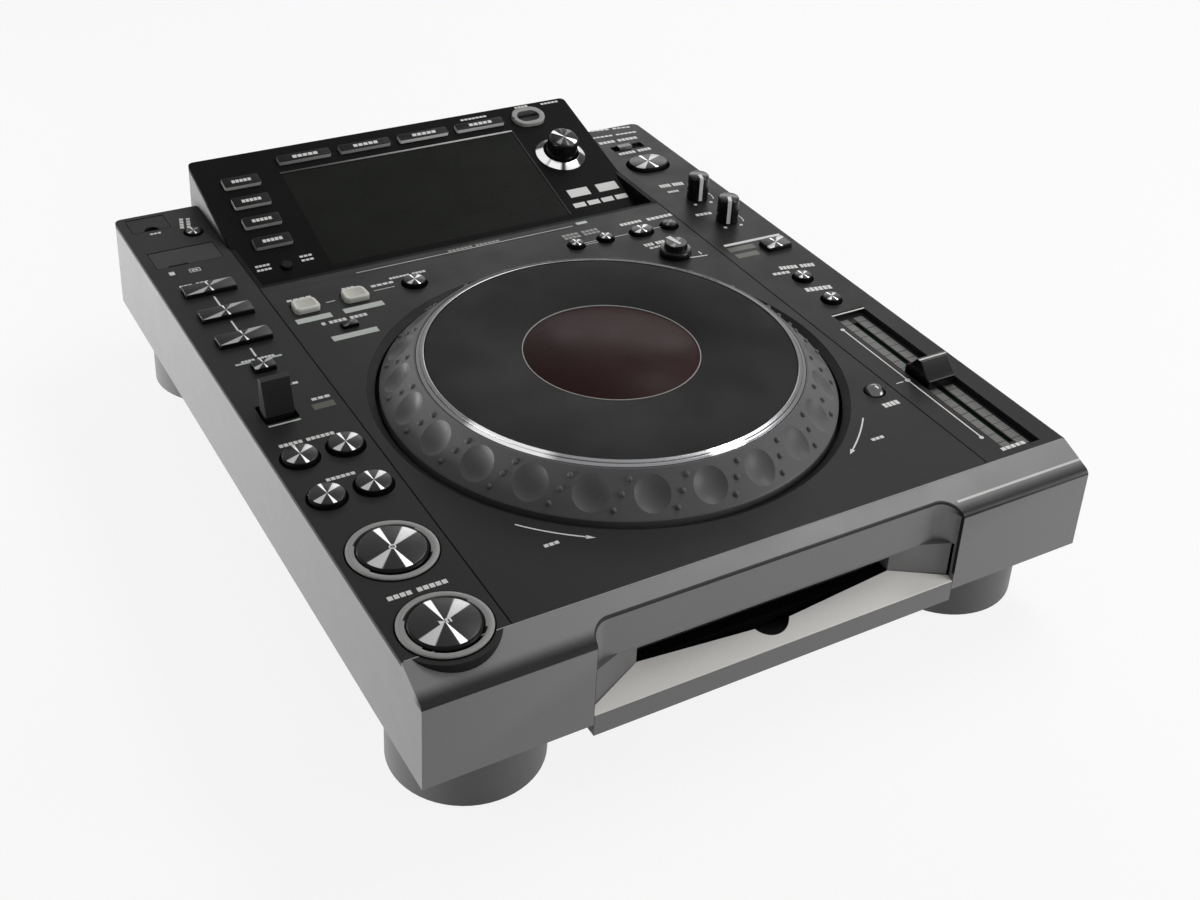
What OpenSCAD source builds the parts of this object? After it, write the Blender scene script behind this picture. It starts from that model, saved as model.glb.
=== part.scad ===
// Tabletop disc player with a large jog wheel, a tilted display and a slot for discs.
// Millimetres, +Z up, front towards -Y. The origin is the centre of the footprint, on the table.

/* [Body] */
// Width across the side walls
body_w = 320; // [310:1:345]
// Depth from the front face to the rear edge of the display block
total_d = 405.5; // [402:0.5:440]
// Height of the side walls, from their lower edge to the deck
body_h = 46.5; // [44:0.5:56]
// How far the display block stands out behind the side walls
block_overhang = 13; // [12:0.5:16]
// Thickness of the moulded side, front and rear walls
wall_t = 3; // [2.5:0.1:3.4]
// Thickness of the black control panels
panel_t = 2; // [1.8:0.1:2.4]
// Height of the flat front face above the lower edge of the walls
front_face_h = 37.2; // [35.5:0.1:38]
// Depth of the sloped front lip, seen from above
lip_d = 17.4; // [16.5:0.1:18]
// Width of the left and right control strips
strip_w = 44.5; // [43.5:0.1:46]

/* [Feet and underside] */
// Height of the four feet
foot_h = 32; // [26:0.5:38]
// Radius of a foot
foot_r = 32.5; // [26:0.5:33]
// Distance from a foot's centre to the nearer side wall
foot_inset_x = 37.7; // [36.5:0.1:40]
// Distance from a front foot's centre to the front face
foot_inset_front = 41.4; // [38:0.1:50]
// Distance from a rear foot's centre to the rear wall
foot_inset_rear = 42.4; // [38:0.1:50]
// Depth of the drive pan below the side walls
pan_h = 5.7; // [4.5:0.1:8]
// Thickness of the sheet metal chassis
chassis_t = 1.6; // [1.2:0.1:2]

/* [Disc slot] */
// Width of the recess in the front face
recess_w = 177.2; // [172:0.2:177.4]
// Depth of the recess
recess_d = 9; // [8:0.1:10]
// Width of the slot that takes the disc
slot_w = 125; // [122:0.5:128]
// Height of the slot
slot_h = 8; // [6:0.2:8.6]
// Height of the slot's lower edge above the side walls' lower edge
slot_z = 10.2; // [9.6:0.1:11]
// Width of the finger notch in the loading lip
notch_w = 19.6; // [16:0.2:24]

/* [Jog wheel] */
// Radius of the well in the deck
well_r = 110.5; // [108:0.25:111]
// Outer radius of the dimpled ring
jog_r = 105; // [101:0.1:105.4]
// Height of the ring's upper edge above the deck
jog_h = 16; // [13:0.25:17]
// Radius of the silver trim around the top plate
trim_r = 88.5; // [84:0.25:89]
// Radius of the window in the top plate
window_r = 40.4; // [36:0.2:44]
// Distance from the jog wheel's centre to the front face
jog_from_front = 146.25; // [144:0.25:150]
// Number of finger dimples
dimple_n = 24; // [16:1:26]
// Radius of a finger dimple's rim
dimple_r = 8.1; // [5:0.1:8.4]

/* [Display block] */
// Tilt of the display panel
tilt = 15.6; // [14:0.1:16.6]
// Distance from the panel's fold line to the block's rear edge
fold_d = 69.3; // [67:0.1:72]
// Depth of the sunk part of the panel in front of the fold line
sunk_d = 43.7; // [42:0.1:46]
// Width of the screen glass
screen_w = 140; // [130:0.5:144]
// Height of the screen glass, along the tilt
screen_h = 75; // [70:0.5:76]

/* [Keys and knobs] */
// How far the deck keys stand above the deck
key_h = 2.4; // [1.5:0.1:3.4]
// Travel of a key
key_travel = 0.7; // [0.4:0.05:0.8]
// Clearance around each key in its hole
key_gap = 0.3; // [0.2:0.05:0.4]
// Radius of the lit rings around the play and cue keys
big_ring_r = 18.2; // [17:0.1:18.6]
// Radius of the play and cue keys
big_key_r = 14.4; // [12:0.1:15]
// Width of a hot cue key
hot_cue_w = 25.5; // [20:0.5:28]
// Distance between hot cue keys
hot_cue_pitch = 25.6; // [22:0.1:26]
// Radius of the track and search keys
skip_r = 7.6; // [6:0.1:8.4]
// Radius of the tall rotary knobs
knob_r = 6; // [5:0.1:7]
// Height of the tall rotary knobs above the deck
knob_h = 14.8; // [12:0.1:18]
// Travel of the tempo slider from its middle to either end
slider_travel = 50; // [40:1:50]
// Width of the tempo slider's recess
slider_w = 19.4; // [18:0.1:20]
// Height of the direction lever above the deck
lever_h = 16.6; // [12:0.1:18]

/* [Hidden] */

$fn = 96;
eps = 0.01;
seam = 0.15;             // gap between neighbouring panels, each side of the seam
fit = 0.05;              // running clearance of a shaft in its bore
joint_gap = 0.04;        // glue line between pieces of one assembly

// heights
wall_z = foot_h;
deck_z = wall_z + body_h;
under_z = deck_z - panel_t;
lip_z = wall_z + front_face_h;
pan_z = wall_z - pan_h;
board_z = deck_z - 14;
board_t = 1.6;
floor_z = wall_z + chassis_t;

// plan positions
front_y = -total_d / 2;
back_y = total_d / 2;
rear_y = back_y - block_overhang;
lip_y = front_y + lip_d;
fold_y = back_y - fold_d;
sunk_y = fold_y - sunk_d;
side_x = body_w / 2;
strip_x = side_x - strip_w / 2;
seam_x = side_x - strip_w;
jog_y = front_y + jog_from_front;
block_x = seam_x - seam;

// panels and posts
edge_r = 4;              // plan rounding of the rear corners
post_r = 2.6;
screw_r = 1.5;
flange = 1.2;            // how far a key's flange reaches under the panel
flange_t = 1;
big_neck = 2.2;          // neck of the play and cue keys
shaft_r = 3;             // shafts of the rotary knobs
stem_r = 1.6;
switch_w = 6;
switch_h = 5;
plunger_r = 1.7;
plunger_h = 1;
stem_gap = key_travel + 0.1;
plunger_z = board_z + board_t + switch_h + plunger_h;

// controls on the left strip, measured from the front face
play_y = front_y + 28.6;
cue_y = front_y + 76.8;
search_y = front_y + 119.4;
track_y = front_y + 150;
skip_x = 10.2;
lever_y = front_y + 186.6;
lever_x = -strip_x - 7;
lever_w = 13.2;
lever_base_d = 11;
lever_top_d = 4;
lever_pin_r = 1.5;
lever_axis_z = deck_z - 5;
lever_ear_x = lever_w / 2 + 1.9;
call_mode_y = front_y + 223.6;
hot_cue_y = front_y + 250.6;
// and from the rear wall
card_y = rear_y - 51.8;
card_w = 33.6;
card_d = 17.6;
usb_y = rear_y - 11;
usb_x = -strip_x - 7.2;
usb_w = 19.6;
usb_d = 15.2;
usb_stop_x = -strip_x + 11.5;
usb_stop_y = rear_y - 29;
door_t = 1.6;
door_gap = 0.3;
door_pin_r = 0.45;
door_pin = 1.4;          // how far a door's pins reach into the panel
big_collar_r = 21.4;
collar_h = 7;

// controls on the centre panel, measured from its rear edge
row_y = sunk_y - 26.2;
loop_in_x = -101.6;
loop_out_x = -76;
beat_loop_x = -88.6;
beat_loop_y = row_y - 24.4;
reloop_x = -44;
call_back_x = 49.3;
call_forward_x = 67.1;
call_y = row_y + 1;
delete_x = 88.9;
memory_x = 106.4;
adjust_x = 92.5;
adjust_y = sunk_y - 54.8;
reset_x = 106;
reset_y = front_y + 85.2;

// controls on the right strip
right_x = strip_x + 1.4;
lock_y = rear_y - 28.4;
eject_x = strip_x - 1.5;
eject_y = rear_y - 54.5;
knob_1_y = front_y + 289.2;
knob_2_y = front_y + 258.9;
jog_mode_y = front_y + 223.2;
jog_mode_x = strip_x + 9;
range_y = front_y + 187.6;
master_y = front_y + 162.8;
slider_y = front_y + 86;
slider_x = strip_x + 1.75;
slider_d = 2 * slider_travel + 29;
channel_h = 3;
channel_t = 1.2;
cap_w = 16.2;
cap_d = 17.4;
cap_h = 9.6;
slit_w = 2.6;

// controls on the tilted panel, as [across, along the tilt from the fold]
source_x = -93.2;
source_y = 48.6;
source_pitch = 16.25;
menu_x = 53.6;
menu_pitch = 35.75;
menu_y = 60;
back_key = [85.6, 59.7];
time_key = [-92.4, -19.2];
selector = [89, 23.6];
selector_r = 9.2;
selector_h = 13.5;
selector_gap = 1.2;      // between the selector and its chrome ring
selector_ring_w = 4;
selector_ring_h = 2.8;
block_r = 3;             // plan rounding of the block's rear corners
tilt_key_h = 2;
screen_y = 12.6;
tilt_t = 2.4;            // wall of the display block
tilt_board = 10.2;       // depth of the board's top behind the tilted panel
tilt_switch_h = 3;

// ring and well
skirt_h = 5;             // how deep the ring's skirt reaches into the well
ring_t = 2.6;
hub_z = deck_z - 8.4;
hub_t = 3;
spindle_r = 14;
well_floor_z = deck_z - 16.4;
well_t = 2;
rim_in_r = max(well_r - 4, jog_r + 2);
rim_h = 4.5;
rim_drop = 2.2;          // fall of the bevelled ring from the panel inwards
plate_r = trim_r - 2.3;
plate_t = 2;
plate_z = deck_z + jog_h;
press = 0.4;             // travel of the touch plate
centre_z = plate_z - plate_t - 2.4;
centre_r = window_r - 1;

// disc drive, hung between the pan and the well
drive_w = 146;
drive_d = 148;
drive_y0 = front_y + 19.4;
drive_z0 = wall_z + 5;
drive_z1 = well_floor_z - 1;
drive_t = 1.4;
hub_from_front = 74;
roller_r = 1.6;

// rear connectors, as distances across the rear wall
jack_z = wall_z + 16;
jack_r = 5.2;
plug_r = 4.15;           // radius of a phono plug's seat
jacks_x = [-92, -74, -50];
usb_b_x = -22;
lan_x = 6;
mini_x = 28;
inlet_x = 88;
switch_x = 58;
usb_b = [12, 11];
lan = [16, 13.6];
inlet = [22, 14.8];
switch_hole_w = 14.6;
switch_hole_h = 20.6;
rocker_w = 13.6;
rocker_h = 18;
rocker_axis = 7;         // depth of the rocker's pin behind the rear wall's face
rocker_throw = 16;       // turn of the rocker between off and on

// ---------- helpers ----------

// rectangle with round corners, centred
module rounded(w, d, r) {
    square([w - 2 * r, d], center = true);
    square([w, d - 2 * r], center = true);
    for (x = [-1, 1], y = [-1, 1])
        translate([x * (w / 2 - r), y * (d / 2 - r)]) circle(r);
}

// long slot with round ends, centred on x
module vent(w, r, h) {
    translate([-w / 2 + r, -r, 0]) cube([w - 2 * r, 2 * r, h]);
    for (x = [-1, 1]) translate([x * (w / 2 - r), 0, 0]) cylinder(r = r, h = h, $fn = 32);
}

module plate(w, d, r, h) { linear_extrude(h) rounded(w, d, r); }

module box(w, d, h) { translate([-w / 2, -d / 2, 0]) cube([w, d, h]); }

// solid with a profile in the YZ plane, between two x values
module along_x(x0, x1) {
    translate([x0, 0, 0]) rotate([90, 0, 90]) linear_extrude(x1 - x0) children();
}

// places children on the tilted panel: x across, y along the tilt, z out of the panel
module on_tilt(p = [0, 0]) {
    translate([0, fold_y, deck_z]) rotate([tilt, 0, 0]) translate([p[0], p[1], 0]) children();
}

function tilt_z(y) = deck_z + (y - fold_y) * tan(tilt);

// hole for a round or a bar key, cut through a panel whose top is at z = 0
module round_hole(r, depth = panel_t) {
    translate([0, 0, -depth - 1]) cylinder(r = r + key_gap, h = depth + 2);
}

module bar_hole(w, d, r, depth = panel_t) {
    translate([0, 0, -depth - 1]) plate(w + 2 * key_gap, d + 2 * key_gap, r, depth + 2);
}

// the part of a key below its cap: neck in the hole, flange under the panel, stem to the switch
module key_foot(w, d, r, depth, reach) {
    neck = depth + 0.25;
    translate([0, 0, -neck]) plate(w, d, r, neck);
    translate([0, 0, -neck - flange_t]) plate(w + 2 * flange, d + 2 * flange, r, flange_t);
    translate([0, 0, -reach]) cylinder(r = stem_r, h = reach - neck);
}

module round_foot(r, depth, reach) {
    neck = depth + 0.25;
    translate([0, 0, -neck]) cylinder(r = r, h = neck);
    translate([0, 0, -neck - flange_t]) cylinder(r = r + flange, h = flange_t);
    translate([0, 0, -reach]) cylinder(r = stem_r, h = reach - neck);
}

deck_reach = deck_z - plunger_z - stem_gap;

// round deck key with a chamfered rim
module round_key(r, h = key_h, chamfer = 0.6) {
    cylinder(r = r, h = h - chamfer);
    translate([0, 0, h - chamfer]) cylinder(r1 = r, r2 = r - chamfer, h = chamfer);
    round_foot(r, panel_t, deck_reach);
}

module bar_key(w, d, r, h = key_h) {
    plate(w, d, r, h);
    key_foot(w, d, r, panel_t, deck_reach);
}

// a tact switch with its plunger, on a board whose top is z = 0
module tact_switch(h = switch_h) {
    box(switch_w, switch_w, h);
    translate([0, 0, h]) cylinder(r = plunger_r, h = plunger_h);
}

// ---------- where the deck keys are ----------

hot_cue = [for (i = [0:2]) [-strip_x, hot_cue_y + i * hot_cue_pitch]];
skips = [for (y = [search_y, track_y], x = [-1, 1]) [-strip_x + x * skip_x, y]];
left_switches = concat(skips, hot_cue,
    [[-strip_x, play_y], [-strip_x, cue_y], [usb_stop_x, usb_stop_y], [-strip_x, call_mode_y]]);
centre_switches = [[loop_in_x, row_y], [loop_out_x, row_y], [beat_loop_x, beat_loop_y],
    [reloop_x, row_y], [call_back_x, call_y], [call_forward_x, call_y], [delete_x, row_y],
    [memory_x, row_y]];
right_switches = [[eject_x, eject_y], [jog_mode_x, jog_mode_y], [right_x, range_y],
    [right_x, master_y]];
source_at = [for (i = [0:3]) [source_x, source_y - i * source_pitch]];
menu_at = [for (i = [0:3]) [-menu_x + i * menu_pitch, menu_y]];

// sizes of the keys
call_mode_w = 10;
call_mode_d = 8;
hot_cue_d = 9.6;
loop_w = 13.2;
loop_d = 11;
small_r = 4.6;
call_r = 3.9;
delete_w = 12.4;
delete_d = 8.4;
memory_r = 4.2;
reloop_r = 5.6;
beat_w = 8;
beat_d = 5;
reset_r = 5;
eject_w = 23.2;
eject_d = 17.4;
eject_r = 8.4;
jog_mode_w = 15;
jog_mode_d = 10;
usb_stop_r = 4;
menu_w = 30;
menu_d = 5.7;
source_w = 20;
source_d = 7.6;
back_w = 20.2;
back_d = 15.6;
back_r = 7.8;
time_r = 2.8;
adjust_r = 8.6;

// ---------- fixed pieces ----------

// side view of the walls; the slope of the lip is tangent to its rolled front edge
roll_r = 3.4;
roll_x = lip_d - roll_r;
roll_z = deck_z - lip_z;
lip_slope = atan2(roll_z, roll_x) - asin(roll_r / norm([roll_x, roll_z]));

// shelf under the front edges of the panels
shelf_d = 2.4;
recess_t = 2;            // walls of the recess above the slot

// collar of a big key, cut off at the side wall and at the rib under the seam
module collar(y, r, h) {
    x0 = wall_t - strip_w / 2;
    x1 = strip_w / 2 - rib_t / 2 - 0.1;
    translate([-strip_x, y, deck_z - collar_h]) intersection() {
        cylinder(r = r, h = h);
        translate([x0, -r, 0]) cube([x1 - x0, 2 * r, h]);
    }
}

module wall_outline() {
    polygon([[front_y, wall_z], [front_y, lip_z],
        [front_y + roll_r * (1 - sin(lip_slope)), lip_z + roll_r * cos(lip_slope)],
        [lip_y, deck_z], [lip_y, under_z], [rear_y, under_z], [rear_y, wall_z]]);
    translate([front_y + roll_r, lip_z]) circle(roll_r);
}

// plan of the recess in the front face, its two rear corners round
module recess_plan(w) {
    translate([-w / 2, front_y - 1]) square([w, 1]);
    translate([-w / 2 + recess_d, front_y]) square([w - 2 * recess_d, recess_d]);
    for (x = [-1, 1]) translate([x * (w / 2 - recess_d), front_y]) circle(recess_d);
}

module rear_cutouts() {
    translate([0, rear_y + 1, jack_z]) rotate([90, 0, 0]) {
        for (x = jacks_x) translate([x, 0, 0]) cylinder(r = jack_r + 0.1, h = wall_t + 2);
        translate([mini_x, 0, 0]) cylinder(r = 4.1, h = wall_t + 2);
    }
    for (s = [[usb_b_x, usb_b], [lan_x, lan], [inlet_x, inlet]])
        translate([s[0], rear_y - wall_t / 2, jack_z - s[1][1] / 2 - 0.3])
            box(s[1][0] + 0.6, wall_t + 2, s[1][1] + 0.6);
    translate([switch_x, rear_y - wall_t / 2, jack_z - switch_hole_h / 2])
        box(switch_hole_w, wall_t + 2, switch_hole_h);
}

module housing() color([0.52, 0.52, 0.51]) {
    difference() {
        along_x(-side_x, side_x) wall_outline();
        // hollow inside
        along_x(-side_x + wall_t, side_x - wall_t)
            polygon([[front_y + wall_t, wall_z - 1], [front_y + wall_t, lip_z - wall_t],
                [lip_y - wall_t, under_z - wall_t], [lip_y + shelf_d, under_z - wall_t],
                [lip_y + shelf_d, deck_z + 1], [rear_y - wall_t, deck_z + 1],
                [rear_y - wall_t, wall_z - 1]]);
        // recess for the disc slot
        translate([0, 0, wall_z - 1]) linear_extrude(body_h + 2) recess_plan(recess_w);
        // way from the recess to the drive
        translate([-recess_w / 2, front_y, wall_z - 1])
            cube([recess_w, lip_d + 2 * wall_t, bezel_z1 - wall_z + 1]);
        // seat of the play key's collar
        collar(play_y, big_collar_r + fit, body_h);
        // rear wall stays below the display block
        translate([-seam_x, rear_y - wall_t - 1, block_z0])
            cube([2 * seam_x, wall_t + 2, body_h]);
        rear_cutouts();
        // plan rounding of the rear corners
        for (x = [-1, 1]) translate([x * (side_x - edge_r), rear_y - edge_r, wall_z - 1]) difference() {
            translate([x > 0 ? 0 : -edge_r - 1, 0, 0]) cube([edge_r + 1, edge_r + 1, body_h + 2]);
            cylinder(r = edge_r, h = body_h + 2);
        }
    }
    // sides and back of the recess above the slot
    intersection() {
        along_x(-side_x, side_x) wall_outline();
        difference() {
            translate([-recess_w / 2 - recess_t, front_y + 1, bezel_z1])
                cube([recess_w + 2 * recess_t, recess_d + recess_t - 1, body_h]);
            translate([0, 0, wall_z]) linear_extrude(body_h) recess_plan(recess_w);
        }
    }
    // ribs that carry the seams of the panels
    for (x = [-1, 1]) translate([x * seam_x, 0, 0]) rib();
}

rib_t = 2.4;
module rib() {
    translate([-rib_t / 2, lip_y, floor_z + 0.2])
        cube([rib_t, sunk_y - lip_y - 1, under_z - floor_z - 0.2]);
}

bezel_z1 = slot_z + wall_z + slot_h + 4.6;
bezel_z0 = wall_z + 4.2;
bezel_y1 = front_y + 19;
slot_y = front_y + 13.5;
block_z0 = deck_z - 16.5;

module bottom_chassis() color([0.45, 0.45, 0.45]) {
    pan_w = min(recess_w - 0.4, 2 * (side_x - foot_inset_x - foot_r - 1));
    pan_y1 = main_y - main_d / 2 - 4;
    in_x = side_x - wall_t - 0.2;
    difference() {
        union() {
            translate([-in_x, front_y + wall_t + 0.2, wall_z])
                cube([2 * in_x, rear_y - front_y - 2 * wall_t - 0.4, chassis_t]);
            translate([-pan_w / 2, front_y, pan_z])
                cube([pan_w, pan_y1 - front_y, pan_h + chassis_t]);
            // the strip under the loading lip
            translate([-pan_w / 2, front_y, pan_z]) cube([pan_w, 2.4, bezel_z0 - pan_z]);
        }
        translate([-pan_w / 2 + chassis_t, front_y + 2.4, pan_z + chassis_t])
            cube([pan_w - 2 * chassis_t, pan_y1 - front_y - 2.4 - chassis_t, pan_h + 2]);
        // cooling slots
        for (i = [0:11], x = [-1, 1])
            translate([x * 40, front_y + 60 + i * 16, pan_z - 1]) vent(46, 1.7, chassis_t + 2);
        for (i = [0:9])
            translate([-54 + i * 12, rear_y - 32, wall_z - 1]) rotate(90) vent(34, 1.7, chassis_t + 2);
        for (p = concat(foot_at, screw_at))
            translate([p[0], p[1], wall_z - 1]) cylinder(r = screw_r + fit, h = chassis_t + 2);
    }
    // standoffs for the drive
    for (x = [-1, 1], y = [12, drive_d - 12])
        translate([x * (drive_w / 2 - 8), drive_y0 + y, pan_z + chassis_t])
            cylinder(r = 4, h = drive_z0 - pan_z - chassis_t);
    // standoffs for the main board and the supply
    for (p = main_posts) translate([p[0], p[1], floor_z]) cylinder(r = 3, h = main_z - floor_z);
}

main_z = wall_z + 6;
main_w = 196;
main_d = 52;
main_y = rear_y - 44;
main_posts = [for (x = [-1, 1], y = [-1, 1])
    [x * (main_w / 2 - 5), main_y + y * (main_d / 2 - 5)]];
foot_at = [for (x = [-1, 1], y = [front_y + foot_inset_front, rear_y - foot_inset_rear])
    [x * (side_x - foot_inset_x), y]];
screw_at = [for (x = [-1, 1], y = [-80, 70]) [x * (side_x - 10), y]];
foot_web = 4;            // rubber left above the screw's pocket in a foot

module feet() color([0.36, 0.36, 0.36])
    for (p = foot_at) translate([p[0], p[1], 0]) difference() {
        union() {
            cylinder(r1 = foot_r - 1, r2 = foot_r, h = 1);
            translate([0, 0, 1]) cylinder(r = foot_r, h = foot_h - 1);
        }
        translate([0, 0, -1]) cylinder(r = 5, h = foot_h - foot_web + 1);
        cylinder(r = screw_r + fit, h = foot_h + 1);
    }

// a screw with its head's upper side at z = 0
module screw(head_r, head_h, length) {
    translate([0, 0, -head_h]) cylinder(r = head_r, h = head_h);
    cylinder(r = screw_r, h = length);
}

bite = 6;                // how far a screw goes in past what it holds

module case_screws() color([0.2, 0.2, 0.2]) {
    for (p = foot_at) translate([p[0], p[1], foot_h - foot_web]) screw(3.6, 3, foot_web + bite);
    for (p = screw_at) translate([p[0], p[1], wall_z]) screw(3, 1.6, bite);
}

// a control panel between two x values, with posts for its board
module strip(x0, x1) {
    translate([x0, lip_y + 0.02, under_z]) cube([x1 - x0, rear_y - lip_y - 0.02, panel_t]);
}

module board_posts(xs, ys) {
    for (x = xs, y = ys) board_post([x, y]);
}

module board_post(p) {
    translate([p[0], p[1], board_z + board_t]) cylinder(r = post_r, h = under_z - board_z - board_t);
}

left_board_x = [-side_x + wall_t + 0.6, -seam_x - rib_t / 2 - 0.6];
board_y1 = rear_y - wall_t - 1;

module rear_corner(x) {
    translate([x * (side_x - edge_r), rear_y - edge_r, under_z - 1]) difference() {
        translate([x > 0 ? 0 : -edge_r - 1, 0, 0]) cube([edge_r + 1, edge_r + 1, panel_t + 2]);
        cylinder(r = edge_r, h = panel_t + 2);
    }
}

module big_ring_seat() {
    translate([0, 0, -14]) cylinder(r = big_key_r + key_gap, h = 20);
    translate([0, 0, -0.8]) cylinder(r = big_ring_r - 2.4, h = 3);
}

module deck_left() color([0.16, 0.16, 0.16]) {
    difference() {
        union() {
            strip(-side_x, -seam_x - seam);
            for (y = [play_y, cue_y]) collar(y, big_collar_r, collar_h);
            // well under the socket cover and the card door
            translate([usb_x, usb_y - 1, deck_z - 4]) box(usb_w + 4, usb_d + 2.6, 3);
            translate([-strip_x, card_y, deck_z - 4]) box(card_w + 4, card_d + 4, 3);
            // bearings of the direction lever
            for (x = [-1, 1]) translate([lever_x + x * lever_ear_x, lever_y, lever_axis_z - 3])
                box(2.6, 7, under_z - lever_axis_z + 3.5);
        }
        translate([lever_x - 12, lever_y, lever_axis_z]) rotate([0, 90, 0])
            cylinder(r = lever_pin_r + fit, h = 24);
        for (y = [play_y, cue_y]) translate([-strip_x, y, deck_z]) big_ring_seat();
        // space for the flanges of the play and cue keys
        for (y = [play_y, cue_y]) translate([-strip_x, y, deck_z - 8])
            cylinder(r = big_key_r + flange + 0.3, h = 8 - big_neck + 0.25);
        for (p = skips) translate([p[0], p[1], deck_z]) round_hole(skip_r);
        for (p = hot_cue) translate([p[0], p[1], deck_z]) bar_hole(hot_cue_w, hot_cue_d, 1);
        translate([-strip_x, call_mode_y, deck_z]) bar_hole(call_mode_w, call_mode_d, 1);
        translate([usb_stop_x, usb_stop_y, deck_z]) round_hole(usb_stop_r);
        translate([lever_x, lever_y, deck_z - panel_t - 1])
            plate(lever_w + 2.4, lever_slot_d, 1, panel_t + 2);
        // recesses of the cover and the door, each with its opening
        translate([usb_x, usb_y, deck_z]) door_seat(usb_w, usb_d, usb_hole_w, usb_hole_d);
        translate([-strip_x, card_y, deck_z]) door_seat(card_w, card_d, card_hole_w, card_hole_d);
        rear_corner(-1);
    }
    // lit rings
    for (y = [play_y, cue_y]) translate([-strip_x, y, deck_z]) difference() {
        cylinder(r = big_ring_r, h = 0.6);
        translate([0, 0, -1]) cylinder(r = big_ring_r - 2.4, h = 3);
    }
    board_posts([left_board_x[0] + 3.2, left_board_x[1] - 3.2],
        [lip_y + 44, lip_y + 120, hot_cue_y + hot_cue_pitch / 2]);
}

// recess of a hinged door, with the opening under it and the bores of its pins
module door_seat(w, d, hole_w, hole_d) {
    translate([0, 0, -door_t - door_gap]) box(w + 2 * door_gap, d + 2 * door_gap, 4);
    translate([0, 0, -5]) box(hole_w, hole_d, 6);
    translate([0, d / 2 - door_t / 2, -door_t / 2]) rotate([0, 90, 0])
        cylinder(r = door_pin_r + fit, h = w + 2 * door_pin + 0.6, center = true, $fn = 24);
}

// a door that lies flush in its recess; its rear edge is round and carries the pins
module door(w, d) {
    translate([-w / 2, -d / 2, -door_t]) cube([w, d - door_t / 2, door_t]);
    translate([0, d / 2 - door_t / 2, -door_t / 2]) rotate([0, 90, 0]) {
        cylinder(r = door_t / 2, h = w, center = true, $fn = 32);
        cylinder(r = door_pin_r, h = w + 2 * door_pin, center = true, $fn = 24);
    }
}

usb_hole_w = 14;
usb_hole_d = 7;
card_hole_w = 27;
card_hole_d = 6;
lever_slot_d = 15.4;

// posts of the centre board, and the small board under the tempo reset key
sunk_post = 9.75;        // from the sunk edge to the posts in front of it
beat_post = 8;           // from the beat key, the adjust knob and the reset key to their posts
adjust_post = 11;
reset_post = 9.6;
centre_posts = [[-60, sunk_y - sunk_post], [0, sunk_y - sunk_post], [80, sunk_y - sunk_post],
    [-105, beat_loop_y - beat_post], [memory_x, adjust_y + adjust_post],
    [reset_x + 1, reset_y - reset_post]];

module deck_centre() color([0.16, 0.16, 0.16]) {
    for (p = centre_posts) board_post(p);
    difference() {
        translate([-seam_x + seam, lip_y + 0.02, under_z])
            cube([2 * (seam_x - seam), sunk_y - lip_y - 0.04, panel_t]);
        translate([0, jog_y, under_z - 1]) cylinder(r = well_r, h = panel_t + 2, $fn = 180);
        for (x = [loop_in_x, loop_out_x]) translate([x, row_y, deck_z]) bar_hole(loop_w, loop_d, 3);
        translate([beat_loop_x, beat_loop_y, deck_z]) bar_hole(beat_w, beat_d, 1);
        translate([reloop_x, row_y, deck_z]) round_hole(reloop_r);
        for (x = [call_back_x, call_forward_x]) translate([x, call_y, deck_z]) round_hole(call_r);
        translate([delete_x, row_y, deck_z]) bar_hole(delete_w, delete_d, delete_d / 2 - 0.1);
        translate([memory_x, row_y, deck_z]) round_hole(memory_r);
        translate([adjust_x, adjust_y, under_z - 1]) cylinder(r = shaft_r + 0.4, h = panel_t + 2);
        translate([reset_x, reset_y, deck_z]) round_hole(reset_r);
    }
}

module deck_right() color([0.16, 0.16, 0.16]) {
    difference() {
        union() {
            strip(seam_x + seam, side_x);
            translate([slider_x, slider_y, deck_z - channel_h - channel_t])
                box(slider_w + 2.4, slider_d + 2.4, channel_h);
            translate([strip_x, lock_y, deck_z - 3.4]) box(24, 9, 2);
        }
        translate([eject_x, eject_y, deck_z]) bar_hole(eject_w, eject_d, eject_r);
        translate([jog_mode_x, jog_mode_y, deck_z]) bar_hole(jog_mode_w, jog_mode_d, 1);
        for (y = [range_y, master_y]) translate([right_x, y, deck_z]) round_hole(small_r);
        for (y = [knob_1_y, knob_2_y])
            translate([right_x, y, under_z - 1]) cylinder(r = shaft_r + 0.4, h = panel_t + 2);
        // channel of the tempo slider, with the slit for its stem
        translate([slider_x, slider_y, deck_z - channel_h]) box(slider_w, slider_d, channel_h + 1);
        translate([slider_x, slider_y, deck_z - channel_h - 3]) box(slit_w, 2 * slider_travel + 14, 6);
        // recess and slit of the eject lock
        translate([strip_x, lock_y, deck_z - 2]) box(21, 6.4, 3);
        translate([strip_x, lock_y, deck_z - 5]) box(12, 2.6, 6);
        rear_corner(1);
    }
    board_posts([-left_board_x[0] - 3.2, -left_board_x[1] + 3.2],
        [range_y - 14, range_y + 20, lock_y + 12]);
}

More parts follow.
